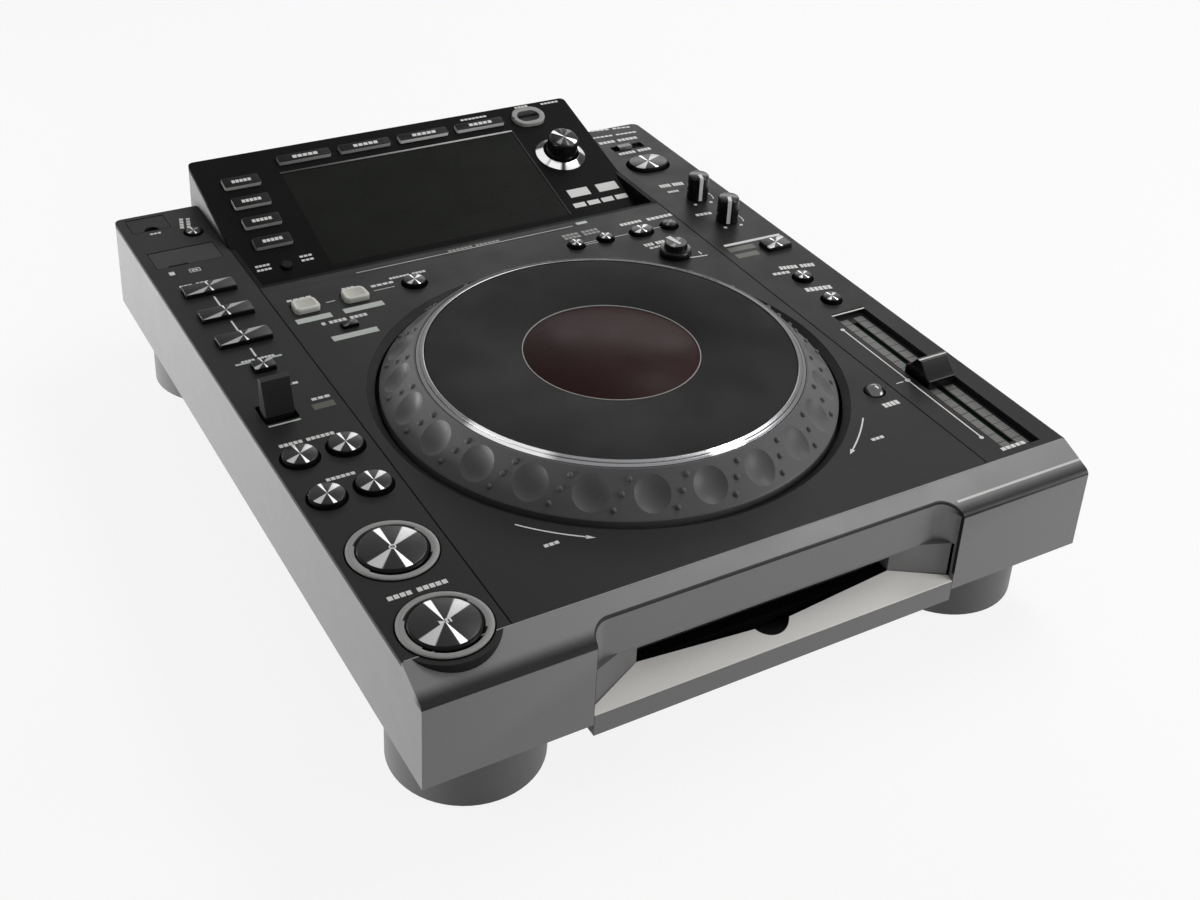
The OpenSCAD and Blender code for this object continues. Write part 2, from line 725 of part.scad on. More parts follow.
module display_housing() color([0.13, 0.13, 0.13]) {
    t = tilt_t;
    difference() {
        along_x(-block_x, block_x)
            polygon([[sunk_y, block_z0], [sunk_y, deck_z], [fold_y, deck_z],
                [back_y, tilt_z(back_y)], [back_y, block_z0]]);
        // sunk tray in front of the fold
        along_x(-block_x + t, block_x - t)
            polygon([[sunk_y + t, tilt_z(sunk_y + t)], [sunk_y + t, deck_z + 1],
                [fold_y + 4, deck_z + 4], [fold_y, deck_z]]);
        // hollow under the panel
        along_x(-block_x + t, block_x - t)
            polygon([[sunk_y + t, block_z0 - 1], [sunk_y + t, tilt_z(sunk_y + t) - t],
                [back_y - 2, tilt_z(back_y - 2) - t], [back_y - 2, block_z0 + t],
                [rear_y - t, block_z0 + t], [rear_y - t, block_z0 - 1]]);
        on_tilt([0, screen_y]) translate([0, 0, -t - 1]) plate(screen_w, screen_h, 0.5, t + 2);
        for (p = source_at) on_tilt(p) bar_hole(source_w, source_d, 1, t);
        for (p = menu_at) on_tilt(p) bar_hole(menu_w, menu_d, 1, t);
        on_tilt(back_key) bar_hole(back_w, back_d, back_r, t);
        on_tilt(time_key) round_hole(time_r, t);
        on_tilt(selector) translate([0, 0, -t - 1]) cylinder(r = shaft_r + 0.4, h = t + 2);
        for (x = [-1, 1]) translate([x * (block_x - block_r), back_y - block_r, block_z0 - 1])
            block_corner(x);
    }
    // posts of the tilted board
    for (x = [-1, 1], y = tilt_posts_y) on_tilt([x * tilt_posts_x, y])
        translate([0, 0, -tilt_board]) cylinder(r = 2, h = tilt_board - t + 0.5);
    // chrome ring around the selector
    on_tilt(selector) rotate_extrude()
        polygon([[chrome_in, -1], [chrome_in, selector_ring_h], [chrome_in + 0.6, selector_ring_h],
            [chrome_in + selector_ring_w, 0.5], [chrome_in + selector_ring_w, -1]]);
}

chrome_in = selector_r + selector_gap;

// what the rounding takes off a rear corner of the block
module block_corner(x) {
    difference() {
        translate([x > 0 ? 0 : -block_r - 1, 0, 0]) cube([block_r + 1, block_r + 1, body_h]);
        cylinder(r = block_r, h = body_h);
    }
}

tilt_posts_x = screen_w / 2 + 6;
tilt_posts_y = [-24, 40];

module display_screen() color([0.1, 0.11, 0.12]) on_tilt([0, screen_y]) {
    g = 0.1;
    translate([0, 0, -tilt_t]) plate(screen_w - 2 * g, screen_h - 2 * g, 0.4, tilt_t - 0.1);
    translate([0, 0, -tilt_t - 5 - joint_gap]) box(screen_w + 6, screen_h + 6, 5);
}

module slot_bezel() {
    half = recess_w / 2 - 0.1;
    color([0.5, 0.5, 0.49]) difference() {
        translate([-half, front_y + 2, bezel_z0])
            cube([2 * half, bezel_y1 - front_y - 2, bezel_z1 - bezel_z0]);
        // front corners follow the recess
        difference() {
            translate([-half - 1, front_y - 1, bezel_z0 - 1]) cube([2 * half + 2, recess_d + 1, bezel_z1]);
            translate([0, 0, bezel_z0 - 2]) linear_extrude(bezel_z1) recess_plan(recess_w - 0.2);
        }
        // funnel
        intersection() {
            along_x(-half - 2, half + 2)
                polygon([[front_y - 1, bezel_z0 - 1], [front_y - 1, bezel_z1 + 1],
                    [front_y + recess_d, bezel_z1 + 1], [front_y + recess_d, bezel_z1 - 0.8],
                    [slot_y, slot_top], [bezel_y1 + 1, slot_top], [bezel_y1 + 1, slot_low],
                    [slot_y, slot_low], [slot_y, bezel_z0 - 1]]);
            translate([0, 0, bezel_z0 - 2]) linear_extrude(bezel_z1)
                polygon([[-half - 2, front_y - 2], [half + 2, front_y - 2], [half + 2, front_y + 2.6],
                    [slot_w / 2, slot_y], [slot_w / 2, bezel_y1 + 2], [-slot_w / 2, bezel_y1 + 2],
                    [-slot_w / 2, slot_y], [-half - 2, front_y + 2.6]]);
        }
    }
    // light loading lip, with its shallow V and the finger notch
    color([0.74, 0.74, 0.72]) difference() {
        intersection() {
            along_x(-half, half)
                polygon([[front_y + 0.1, bezel_z0], [front_y + 0.1, bezel_z0 + 0.4],
                    [slot_y - 0.05, slot_low], [slot_y - 0.05, bezel_z0]]);
            translate([0, 0, bezel_z0 - 1]) linear_extrude(20)
                polygon([[-half + 0.1, front_y], [half - 0.1, front_y], [half - 0.1, front_y + 3],
                    [slot_w / 2, slot_y - 0.1], [notch_w / 2, slot_y - 3.8], [-notch_w / 2, slot_y - 3.8],
                    [-slot_w / 2, slot_y - 0.1], [-half + 0.1, front_y + 3]]);
        }
        translate([0, slot_y + 1, bezel_z0 - 1]) cylinder(r = notch_w / 2, h = 20);
    }
}

slot_low = wall_z + slot_z;
slot_top = slot_low + slot_h;

module drive_frame() color([0.62, 0.63, 0.64]) {
    translate([0, drive_y0, 0]) difference() {
        translate([-drive_w / 2, 0, drive_z0]) cube([drive_w, drive_d, drive_z1 - drive_z0]);
        translate([-drive_w / 2 + drive_t, drive_t, drive_z0 + drive_t])
            cube([drive_w - 2 * drive_t, drive_d - 2 * drive_t, drive_z1 - drive_z0 - 2 * drive_t]);
        translate([-slot_w / 2, -1, slot_low]) cube([slot_w, drive_t + 2, slot_h]);
    }
    low = slot_low - drive_z0 - drive_t;
    // turntable hub under the disc
    translate([0, drive_y0 + hub_from_front, drive_z0 + drive_t]) {
        cylinder(r = 14, h = low + 0.6);
        cylinder(r = 7.4, h = low + 2.4);
    }
    // feed roller behind the slot, between its two brackets
    translate([-slot_w / 2, drive_y0 + 8, slot_low - roller_r - 0.3]) rotate([0, 90, 0])
        cylinder(r = roller_r, h = slot_w);
    for (x = [-1, 1]) translate([x * (slot_w / 2 + 2), drive_y0 + 8, drive_z0 + drive_t])
        box(4, 8, low);
}

module rear_ports() {
    y = rear_y;
    // phono jacks
    for (x = jacks_x) translate([x, y, jack_z]) rotate([90, 0, 0]) {
        color([0.75, 0.75, 0.72]) difference() {
            translate([0, 0, -9]) cylinder(r = plug_r, h = 9);
            translate([0, 0, -10]) cylinder(r = 3.2, h = 9);
        }
        color([0.12, 0.12, 0.12]) cylinder(r = jack_r, h = wall_t + 8);
    }
    color([0.3, 0.3, 0.3]) translate([mini_x, y - 0.2, jack_z]) rotate([90, 0, 0]) difference() {
        cylinder(r = 4, h = 12);
        translate([0, 0, -1]) cylinder(r = 1.8, h = 12);
    }
    color([0.7, 0.7, 0.7]) socket(usb_b_x, usb_b, [8.4, 7.6], 14);
    color([0.7, 0.7, 0.7]) socket(lan_x, lan, [11.8, 8.2], 16);
    color([0.1, 0.1, 0.1]) socket(inlet_x, inlet, [18.4, 11], 18);
    // body of the power switch, with the bores of the rocker's pin
    color([0.1, 0.1, 0.1]) translate([switch_x, y, jack_z]) difference() {
        translate([-9.3, -16, -12]) cube([18.6, 16 - wall_t - 0.05, 24]);
        translate([-rocker_w / 2 - 0.3, -14.5, -switch_hole_h / 2])
            cube([rocker_w + 0.6, 20, switch_hole_h]);
        translate([0, -rocker_axis, 0]) rotate([0, 90, 0])
            cylinder(r = 1.5 + fit, h = 17.4, center = true);
    }
    color([0.1, 0.1, 0.1]) for (x = [-1, 1])
        translate([inlet_x + x * 4.4, y - 4, jack_z]) rotate([90, 0, 0]) cylinder(r = 1.2, h = 11);
}

// a rectangular socket shell in the rear wall
module socket(x, outer, inner, depth) {
    translate([x, rear_y, jack_z]) difference() {
        translate([-outer[0] / 2, -depth, -outer[1] / 2]) cube([outer[0], depth - 0.2, outer[1]]);
        translate([-inner[0] / 2, -depth + 3, -inner[1] / 2]) cube([inner[0], depth, inner[1]]);
    }
}

module board(x0, x1, y0, y1, z) { translate([x0, y0, z]) cube([x1 - x0, y1 - y0, board_t]); }

module circuit_boards() color([0.1, 0.32, 0.16]) {
    // left control board with its switches, and the sockets under the cover and the door
    difference() {
        union() {
            board(left_board_x[0], left_board_x[1], play_y - 8, board_y1, board_z);
            for (p = left_switches) translate([p[0], p[1], board_z + board_t]) tact_switch();
            translate([usb_x, usb_y, board_z + board_t])
                box(usb_hole_w + 3, usb_hole_d + 3, deck_z - 4 - board_z - board_t);
            translate([-strip_x, card_y, board_z + board_t])
                box(card_hole_w + 3, card_hole_d + 3, deck_z - 4 - board_z - board_t);
        }
        translate([usb_x, usb_y, board_z + board_t + 1]) box(12.4, 5.2, 20);
        translate([-strip_x, card_y, board_z + board_t + 1]) box(25, 4.4, 20);
        translate([lever_x, lever_y, board_z - 1]) box(lever_w + 3, 14, 20);
    }
    // right control board with the fader
    difference() {
        union() {
            board(-left_board_x[1], -left_board_x[0], master_y - 7, board_y1, board_z);
            for (p = right_switches) translate([p[0], p[1], board_z + board_t]) tact_switch();
            for (y = [knob_1_y, knob_2_y]) translate([right_x, y, board_z + board_t]) box(10, 10, 5);
        }
        for (y = [knob_1_y, knob_2_y])
            translate([right_x, y, board_z + board_t + 1]) cylinder(r = shaft_r + fit, h = 10);
        translate([strip_x, lock_y, board_z - 1]) box(14, 8, 20);
    }
    difference() {
        translate([slider_x, slider_y, board_z - 8])
            box(10, 2 * slider_travel + 22, deck_z - channel_h - channel_t - board_z + 8);
        translate([slider_x, slider_y, board_z - 6]) box(slit_w, 2 * slider_travel + 14, 30);
    }
    // boards behind the centre panel
    difference() {
        union() {
            board(-block_x + 3, block_x - 3, adjust_y - 8, sunk_y - 1, board_z);
            for (p = centre_switches) translate([p[0], p[1], board_z + board_t]) tact_switch();
            translate([adjust_x, adjust_y, board_z + board_t]) box(10, 10, 5);
        }
        translate([0, jog_y, board_z - 20]) cylinder(r = well_r + 3, h = 40);
        translate([adjust_x, adjust_y, board_z + board_t + 1]) cylinder(r = shaft_r + fit, h = 10);
    }
    board(reset_x - 4.6, reset_x + 7.4, reset_y - 12.4, reset_y + 4.4, board_z);
    translate([reset_x, reset_y, board_z + board_t]) tact_switch();
    // tilted board with the switches around the screen
    on_tilt() difference() {
        union() {
            translate([-block_x + 6, -27, -tilt_board - board_t]) cube([2 * block_x - 12, 91, board_t]);
            for (p = concat(source_at, menu_at, [back_key, time_key]))
                translate([p[0], p[1], -tilt_board]) tact_switch(tilt_switch_h);
            translate([selector[0], selector[1], -tilt_board]) box(11, 11, 5);
        }
        translate([selector[0], selector[1], -tilt_board + 1]) cylinder(r = shaft_r + fit, h = 10);
    }
    // main board and supply on the chassis
    board(-main_w / 2, main_w / 2, main_y - main_d / 2, main_y + main_d / 2, main_z);
    translate([62, main_y - 4, main_z + board_t]) box(42, 34, 16);
    translate([10, main_y - 6, main_z + board_t]) box(26, 26, 3);
    for (x = [-70, -52, -34]) translate([x, main_y - 8, main_z + board_t]) cylinder(r = 6, h = 12);
}

module jog_base() color([0.1, 0.1, 0.1]) translate([0, jog_y, 0]) {
    // well wall and floor, under the panel
    difference() {
        translate([0, 0, well_floor_z])
            cylinder(r = well_r + well_t, h = under_z - well_floor_z, $fn = 180);
        translate([0, 0, well_floor_z + well_t]) cylinder(r = well_r, h = body_h, $fn = 180);
    }
    // bevelled ring in the panel's hole, carried by the well wall
    rotate_extrude($fn = 180)
        polygon([[well_r + 1, deck_z - rim_h], [rim_in_r, deck_z - rim_h],
            [rim_in_r, deck_z - rim_drop], [well_r - 0.1, deck_z - 0.1],
            [well_r - 0.1, under_z - 0.5], [well_r + 1, under_z - 0.5]]);
    // fixed spindle, with the display that stays still under the window
    translate([0, 0, well_floor_z]) cylinder(r = spindle_r, h = centre_z - well_floor_z - 3);
    translate([0, 0, centre_z - 3]) cylinder(r = centre_r, h = 3);
}

// ---------- the jog wheel ----------

// sloping face, from its outer to its inner edge, as [radius, height]
ring_in_r = trim_r + 0.3;
face_out = [jog_r - 0.5, deck_z + 0.3];
face_in = [ring_in_r + 0.8, plate_z - 1.2];
face_slope = atan2(face_in[1] - face_out[1], face_out[0] - face_in[0]);
dimple_at = (face_in + face_out) / 2;

module jog_ring() color([0.42, 0.42, 0.42]) translate([0, jog_y, 0]) difference() {
    rotate_extrude($fn = 180) {
        polygon([[jog_r - 2.2, deck_z - skirt_h], [jog_r, deck_z - skirt_h],
            [jog_r, deck_z - 0.3], face_out, face_in, [ring_in_r, plate_z - 1.2],
            [ring_in_r, ledge_z], [ring_in_r - 5, ledge_z], [ring_in_r - 5, ledge_z - 2],
            [ring_in_r - ring_t, ledge_z - 2], [ring_in_r - ring_t, hub_z],
            [spindle_r + fit, hub_z], [spindle_r + fit, hub_z - hub_t],
            [ring_in_r, hub_z - hub_t], [ring_in_r, plate_z - 6], [jog_r - 2.2, deck_z - 2.4]]);
        translate([spindle_r + fit, hub_z - hub_t - 2.6]) square([8, hub_t + 4.6]);
    }
    for (i = [0:dimple_n - 1]) rotate([0, 0, (i + 0.68) * 360 / dimple_n])
        translate([dimple_at[0] + dimple_off * sin(face_slope), 0,
            dimple_at[1] + dimple_off * cos(face_slope)]) sphere(r = dimple_off + dimple_depth);
}

ledge_z = plate_z - plate_t - press - 0.2;
dimple_depth = 2.2;
dimple_off = (dimple_r * dimple_r - dimple_depth * dimple_depth) / (2 * dimple_depth);

module jog_plate() translate([0, jog_y, 0]) {
    color([0.2, 0.2, 0.2]) difference() {
        translate([0, 0, plate_z - plate_t]) cylinder(r = plate_r, h = plate_t, $fn = 180);
        translate([0, 0, plate_z - plate_t - 1])
            cylinder(r = window_r + joint_gap, h = plate_t + 2, $fn = 120);
    }
    color([0.75, 0.76, 0.77]) difference() {
        translate([0, 0, plate_z - plate_t]) cylinder(r = trim_r, h = plate_t + 0.4, $fn = 180);
        translate([0, 0, plate_z - plate_t - 1])
            cylinder(r = plate_r + joint_gap, h = plate_t + 3, $fn = 180);
    }
    color([0.25, 0.1, 0.1]) translate([0, 0, plate_z - plate_t])
        cylinder(r = window_r, h = plate_t - 0.1, $fn = 120);
}

// ---------- moving controls ----------

module at_deck(p) { translate([p[0], p[1], deck_z]) children(); }

module big_key() color([0.8, 0.8, 0.8]) {
    translate([0, 0, -big_neck]) cylinder(r = big_key_r, h = 0.8 + big_neck);
    translate([0, 0, 0.8]) cylinder(r1 = big_key_r, r2 = big_key_r - 1.2, h = 0.8);
    translate([0, 0, -big_neck - flange_t]) cylinder(r = big_key_r + flange, h = flange_t);
    translate([0, 0, -deck_reach]) cylinder(r = stem_r, h = deck_reach - big_neck);
}

module play_button() at_deck([-strip_x, play_y]) big_key();
module cue_button() at_deck([-strip_x, cue_y]) big_key();

module skip_key(i) at_deck(skips[i]) color([0.75, 0.75, 0.75]) round_key(skip_r);
module search_back_button() skip_key(0);
module search_forward_button() skip_key(1);
module track_back_button() skip_key(2);
module track_forward_button() skip_key(3);

module hot_cue_button(i) at_deck(hot_cue[i]) color([0.2, 0.2, 0.2])
    bar_key(hot_cue_w, hot_cue_d, 0.8);

module call_mode_button() at_deck([-strip_x, call_mode_y]) color([0.2, 0.2, 0.2])
    bar_key(call_mode_w, call_mode_d, 0.8);
module usb_stop_button() at_deck([usb_stop_x, usb_stop_y]) color([0.6, 0.6, 0.6])
    round_key(usb_stop_r, 1.2, 0.3);

// paddle of the direction lever, on a pivot pin under the panel
module direction_lever() color([0.18, 0.18, 0.18]) {
    y0 = lever_y - lever_base_d / 2;
    y1 = lever_y + lever_base_d / 2;
    along_x(lever_x - lever_w / 2, lever_x + lever_w / 2) {
        polygon([[y0 + 0.8, deck_z + 1], [y1 - 1.4, deck_z + 1], [y1 - 1, deck_z + lever_h],
            [y1 - 1 - lever_top_d, deck_z + lever_h]]);
        translate([y0 + 2, lever_axis_z]) square([lever_base_d - 4, 6.5]);
        translate([lever_y, lever_axis_z]) circle(3.5);
    }
    translate([lever_x, lever_y, lever_axis_z]) rotate([0, 90, 0])
        cylinder(r = lever_pin_r, h = 2 * lever_ear_x + 2, center = true);
}

module usb_cover() color([0.2, 0.2, 0.2]) {
    at_deck([usb_x, usb_y]) difference() {
        door(usb_w, usb_d);
        translate([0, -usb_d / 2, -door_t - 1]) cylinder(r = 4, h = door_t + 2);
    }
}

module card_door() color([0.2, 0.2, 0.2])
    at_deck([-strip_x, card_y]) difference() {
        door(card_w, card_d);
        translate([-6, -card_d / 2, -door_t - 1]) box(10, 2, door_t + 2);
    }

module loop_in_button() at_deck([loop_in_x, row_y]) color([0.75, 0.74, 0.68])
    bar_key(loop_w, loop_d, 3);
module loop_out_button() at_deck([loop_out_x, row_y]) color([0.75, 0.74, 0.68])
    bar_key(loop_w, loop_d, 3);
module beat_loop_button() at_deck([beat_loop_x, beat_loop_y]) color([0.3, 0.3, 0.3])
    bar_key(beat_w, beat_d, 0.8, 1.6);
module reloop_button() at_deck([reloop_x, row_y]) color([0.7, 0.7, 0.7])
    round_key(reloop_r);
module call_back_button() at_deck([call_back_x, call_y]) color([0.7, 0.7, 0.7])
    round_key(call_r);
module call_forward_button() at_deck([call_forward_x, call_y]) color([0.7, 0.7, 0.7])
    round_key(call_r);
module delete_button() at_deck([delete_x, row_y]) color([0.7, 0.7, 0.7])
    bar_key(delete_w, delete_d, delete_d / 2 - 0.1);
module memory_button() at_deck([memory_x, row_y]) color([0.7, 0.7, 0.7])
    round_key(memory_r);

module tempo_reset_button() at_deck([reset_x, reset_y]) color([0.8, 0.8, 0.8]) {
    intersection() {
        translate([0, 0, -1.5]) sphere(r = reset_r);
        cylinder(r = reset_r, h = reset_r);
    }
    round_foot(reset_r, panel_t, deck_reach);
}

// low knob with a pointer, on a shaft through the panel
module jog_adjust_knob() at_deck([adjust_x, adjust_y]) color([0.12, 0.12, 0.12]) {
    translate([0, 0, 0.4]) cylinder(r1 = adjust_r, r2 = adjust_r - 1.4, h = 3.6);
    translate([0, 0, 4]) cylinder(r1 = adjust_r - 2.2, r2 = adjust_r - 2.6, h = 3.2);
    translate([0, 0, board_z + board_t + 1.2 - deck_z])
        cylinder(r = shaft_r, h = deck_z - board_z - board_t - 0.6);
}

module tall_knob() color([0.1, 0.1, 0.1]) {
    translate([0, 0, 0.4]) cylinder(r = knob_r, h = knob_h - 1.2);
    translate([0, 0, knob_h - 0.8]) cylinder(r1 = knob_r, r2 = knob_r - 0.8, h = 0.8);
    translate([0, 0, board_z + board_t + 1.2 - deck_z])
        cylinder(r = shaft_r, h = deck_z - board_z - board_t - 0.6);
}

module touch_brake_knob() at_deck([right_x, knob_1_y]) tall_knob();
module release_start_knob() at_deck([right_x, knob_2_y]) tall_knob();

module eject_button() at_deck([eject_x, eject_y]) color([0.7, 0.7, 0.7])
    bar_key(eject_w, eject_d, eject_r);
module jog_mode_button() at_deck([jog_mode_x, jog_mode_y]) color([0.3, 0.3, 0.3])
    bar_key(jog_mode_w, jog_mode_d, 0.8);
module tempo_range_button() at_deck([right_x, range_y]) color([0.7, 0.7, 0.7])
    round_key(small_r);
module master_tempo_button() at_deck([right_x, master_y]) color([0.7, 0.7, 0.7])
    round_key(small_r);

lock_throw = 5;
module eject_lock_switch() color([0.12, 0.12, 0.12]) at_deck([strip_x - lock_throw / 2, lock_y]) {
    along_x(-4.5, 4.5) polygon([[-3, -1.7], [3, -1.7], [2, 1.6], [-2, 1.6]]);
    translate([0, 0, -5.4]) box(5, 2, 4);
    translate([0, 0, -5.4]) box(5, 5, 1.6);
}

module tempo_slider() color([0.12, 0.12, 0.12]) at_deck([slider_x, slider_y]) {
    z0 = -channel_h + 0.3;
    along_x(-cap_w / 2, cap_w / 2)
        polygon([[-cap_d / 2, z0], [cap_d / 2, z0], [cap_d / 2, 2.6], [cap_d / 2 - 2.4, 4],
            [1.6, cap_h], [-1.6, cap_h], [-cap_d / 2 + 2.4, 4], [-cap_d / 2, 2.6]]);
    translate([0, 0, board_z - 5.6 - deck_z])
        box(slit_w - 0.6, 10, deck_z - board_z + 5.6 + z0 + eps);
}

tilt_reach = tilt_board - tilt_switch_h - plunger_h - stem_gap;
tilt_neck = tilt_t + 0.25;

module tilt_key_bar(p, w, d, r = 0.8) on_tilt(p) {
    translate([0, 0, -tilt_neck]) plate(w, d, r, tilt_neck + tilt_key_h);
    translate([0, 0, -tilt_neck - flange_t]) plate(w + 1.6, d + 1.6, r, flange_t);
    translate([0, 0, -tilt_reach]) cylinder(r = stem_r, h = tilt_reach - tilt_neck);
}

module source_key(i) color([0.3, 0.3, 0.3]) tilt_key_bar(source_at[i], source_w, source_d);
module menu_key(i) color([0.3, 0.3, 0.3]) tilt_key_bar(menu_at[i], menu_w, menu_d);

module tilt_key_round(p, r) on_tilt(p) {
    translate([0, 0, -tilt_neck]) cylinder(r = r, h = tilt_neck + tilt_key_h - 0.5);
    translate([0, 0, tilt_key_h - 0.5]) cylinder(r1 = r, r2 = r - 0.5, h = 0.5);
    translate([0, 0, -tilt_neck - flange_t]) cylinder(r = r + 0.6, h = flange_t);
    translate([0, 0, -tilt_reach]) cylinder(r = stem_r, h = tilt_reach - tilt_neck);
}

module back_button() color([0.7, 0.7, 0.7]) tilt_key_bar(back_key, back_w, back_d, back_r);
module time_mode_button() color([0.2, 0.2, 0.2]) tilt_key_round(time_key, time_r);

module rotary_selector() color([0.1, 0.1, 0.1]) on_tilt(selector) {
    translate([0, 0, 0.4]) cylinder(r = selector_r, h = selector_h - 1.4);
    translate([0, 0, selector_h - 1]) cylinder(r1 = selector_r, r2 = selector_r - 1.4, h = 1);
    translate([0, 0, 1.2 - tilt_board]) cylinder(r = shaft_r, h = tilt_board - 0.6);
}

module power_switch() color([0.08, 0.08, 0.08])
    translate([switch_x, rear_y - rocker_axis, jack_z]) {
        h = rocker_h / 2;
        rotate([-rocker_throw / 2, 0, 0]) along_x(-rocker_w / 2, rocker_w / 2)
            polygon([[0, -h], [rocker_axis - 0.4, -h], [rocker_axis - 1.6, 0],
                [rocker_axis - 0.4, h], [0, h]]);
        rotate([0, 90, 0]) cylinder(r = 1.5, h = rocker_w + 3.4, center = true);
    }

housing();
bottom_chassis();
feet();
case_screws();
deck_left();
deck_centre();
deck_right();
display_housing();
display_screen();
slot_bezel();
drive_frame();
circuit_boards();
rear_ports();
jog_base();
jog_ring();
jog_plate();
play_button();
cue_button();
track_back_button();
track_forward_button();
search_back_button();
search_forward_button();
hot_cue_button(0);  // hot_cue_button_1
hot_cue_button(1);  // hot_cue_button_2
hot_cue_button(2);  // hot_cue_button_3
call_mode_button();
direction_lever();
usb_stop_button();
usb_cover();
card_door();
loop_in_button();
loop_out_button();
beat_loop_button();
reloop_button();
call_back_button();
call_forward_button();
delete_button();
memory_button();
jog_adjust_knob();
tempo_reset_button();
eject_button();
eject_lock_switch();
touch_brake_knob();
release_start_knob();
jog_mode_button();
tempo_range_button();
master_tempo_button();
tempo_slider();
source_key(0);  // source_key_1
source_key(1);  // source_key_2
source_key(2);  // source_key_3
source_key(3);  // source_key_4
menu_key(0);  // menu_key_1
menu_key(1);  // menu_key_2
menu_key(2);  // menu_key_3
menu_key(3);  // menu_key_4
back_button();
time_mode_button();
rotary_selector();
power_switch();
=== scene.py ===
# %% [markdown]
# # A tabletop disc player
# The solids of the player come in as a fixed frame, in metres, with +X to the right of someone
# who stands in front of it. This notebook gives them their finishes, replaces the pieces that
# need finer shapes, such as the touch plate, the keys and the knobs, and adds the printed marks.

# %% Load the solids
import math
import bpy
import bmesh
from mathutils import Matrix, Vector


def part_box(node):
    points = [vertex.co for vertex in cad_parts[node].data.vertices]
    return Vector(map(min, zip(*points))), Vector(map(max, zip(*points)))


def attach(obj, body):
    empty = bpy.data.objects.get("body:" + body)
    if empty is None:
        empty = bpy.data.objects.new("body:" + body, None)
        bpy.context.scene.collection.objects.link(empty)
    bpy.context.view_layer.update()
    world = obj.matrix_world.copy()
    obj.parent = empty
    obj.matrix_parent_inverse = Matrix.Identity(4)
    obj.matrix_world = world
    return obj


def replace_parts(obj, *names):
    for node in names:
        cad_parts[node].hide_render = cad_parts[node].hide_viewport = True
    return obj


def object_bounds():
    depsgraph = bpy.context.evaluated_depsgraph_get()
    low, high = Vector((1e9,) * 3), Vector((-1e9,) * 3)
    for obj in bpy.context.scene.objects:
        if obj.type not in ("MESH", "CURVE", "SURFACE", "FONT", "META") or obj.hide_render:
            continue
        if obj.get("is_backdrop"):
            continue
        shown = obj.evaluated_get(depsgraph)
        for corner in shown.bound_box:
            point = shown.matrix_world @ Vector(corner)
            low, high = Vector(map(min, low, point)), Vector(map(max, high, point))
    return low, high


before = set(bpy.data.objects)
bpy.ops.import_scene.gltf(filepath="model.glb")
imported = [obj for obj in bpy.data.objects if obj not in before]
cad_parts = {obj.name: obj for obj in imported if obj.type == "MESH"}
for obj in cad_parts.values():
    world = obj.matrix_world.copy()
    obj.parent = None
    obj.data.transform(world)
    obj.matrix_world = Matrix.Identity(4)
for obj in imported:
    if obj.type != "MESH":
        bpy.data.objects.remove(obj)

cad_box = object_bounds()
MM = 0.001

# %% [markdown]
# ## Levels and places
# Every new piece is drawn flat around its own centre and then moved to its place. A deck key's
# place is the middle of its solid, at the level of the panels. The keys of the screen block lie
# on a plane that is tilted about its fold, so they share one matrix for that plane.

# %% Places on the deck and on the tilted panel
DECK = 78.5
FOLD = 133.45
TILT = math.radians(15.6)


def on_deck(x, y, turn=0.0):
    """Place on the panels, in mm, turned by some degrees."""
    return Matrix.Translation((x * MM, y * MM, DECK * MM)) @ Matrix.Rotation(math.radians(turn), 4, "Z")


def on_tilt(x, y, z=0.0):
    """Place on the tilted panel: across, along from the fold, out of the panel."""
    plane = Matrix.Translation((0, FOLD * MM, DECK * MM)) @ Matrix.Rotation(TILT, 4, "X")
    return plane @ Matrix.Translation((x * MM, y * MM, z * MM))


def at_key(node, turn=0.0):
    """Place of a deck key: the middle of its solid, at panel level."""
    low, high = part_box(node)
    return on_deck((low[0] + high[0]) / 2 / MM, (low[1] + high[1]) / 2 / MM, turn)


print("play key at", at_key("play_button").translation)

# %% [markdown]
# ## Camera
# The player is seen from its front left corner, from above. A lens of about 50 mm keeps the
# shape natural, and a small shift puts the player in the frame without tilting its uprights.

# %% Camera


def placed(name, data):
    """A new object in the scene."""
    made = bpy.data.objects.new(name, data)
    bpy.context.scene.collection.objects.link(made)
    return made


view = bpy.data.cameras.new("view")
view.lens = 49.315
view.sensor_width = 36
view.shift_x = -0.014544
view.shift_y = -0.159114
camera = placed("camera", view)
camera.location = (-0.33638, -0.59793, 0.48742)
camera.rotation_euler = [math.radians(a) for a in (61.48790, -3.07503, -30.18981)]
bpy.context.scene.camera = camera
bpy.context.scene.view_settings.view_transform = "Standard"
print("camera", tuple(camera.location))

# %% [markdown]
# ## A node helper
# Materials are built from small shader nodes. One helper makes a node, sets its options and
# wires or fills its inputs, so that each finish reads as a short recipe.

# %% Node and colour helpers


def wire(tree, kind, inputs=None, **options):
    """A shader node with its options and inputs: a socket is linked, a value is set."""
    made = tree.nodes.new(kind)
    for key, value in options.items():
        setattr(made, key, value)
    for key, value in (inputs or {}).items():
        if isinstance(value, bpy.types.NodeSocket):
            tree.links.new(value, made.inputs[key])
        else:
            made.inputs[key].default_value = value
    return made


def tone(r, g, b):
    """A screen colour, 0 to 255, as the linear colour that a shader takes."""
    return tuple(((c / 255 + 0.055) / 1.055) ** 2.4 if c > 10 else c / 3294.6 for c in (r, g, b)) + (1,)


def math_node(tree, operation, a, b=0.0):
    """The output of one sum."""
    return wire(tree, "ShaderNodeMath", {0: a, 1: b}, operation=operation).outputs[0]


def product(tree, first, *others):
    """Values multiplied: a mask that is 1 where all its parts are."""
    for value in others:
        first = math_node(tree, "MULTIPLY", first, value)
    return first


def largest(tree, first, *others):
    """The largest of some values: a mask that is 1 where any of its parts is."""
    for value in others:
        first = math_node(tree, "MAXIMUM", first, value)
    return first


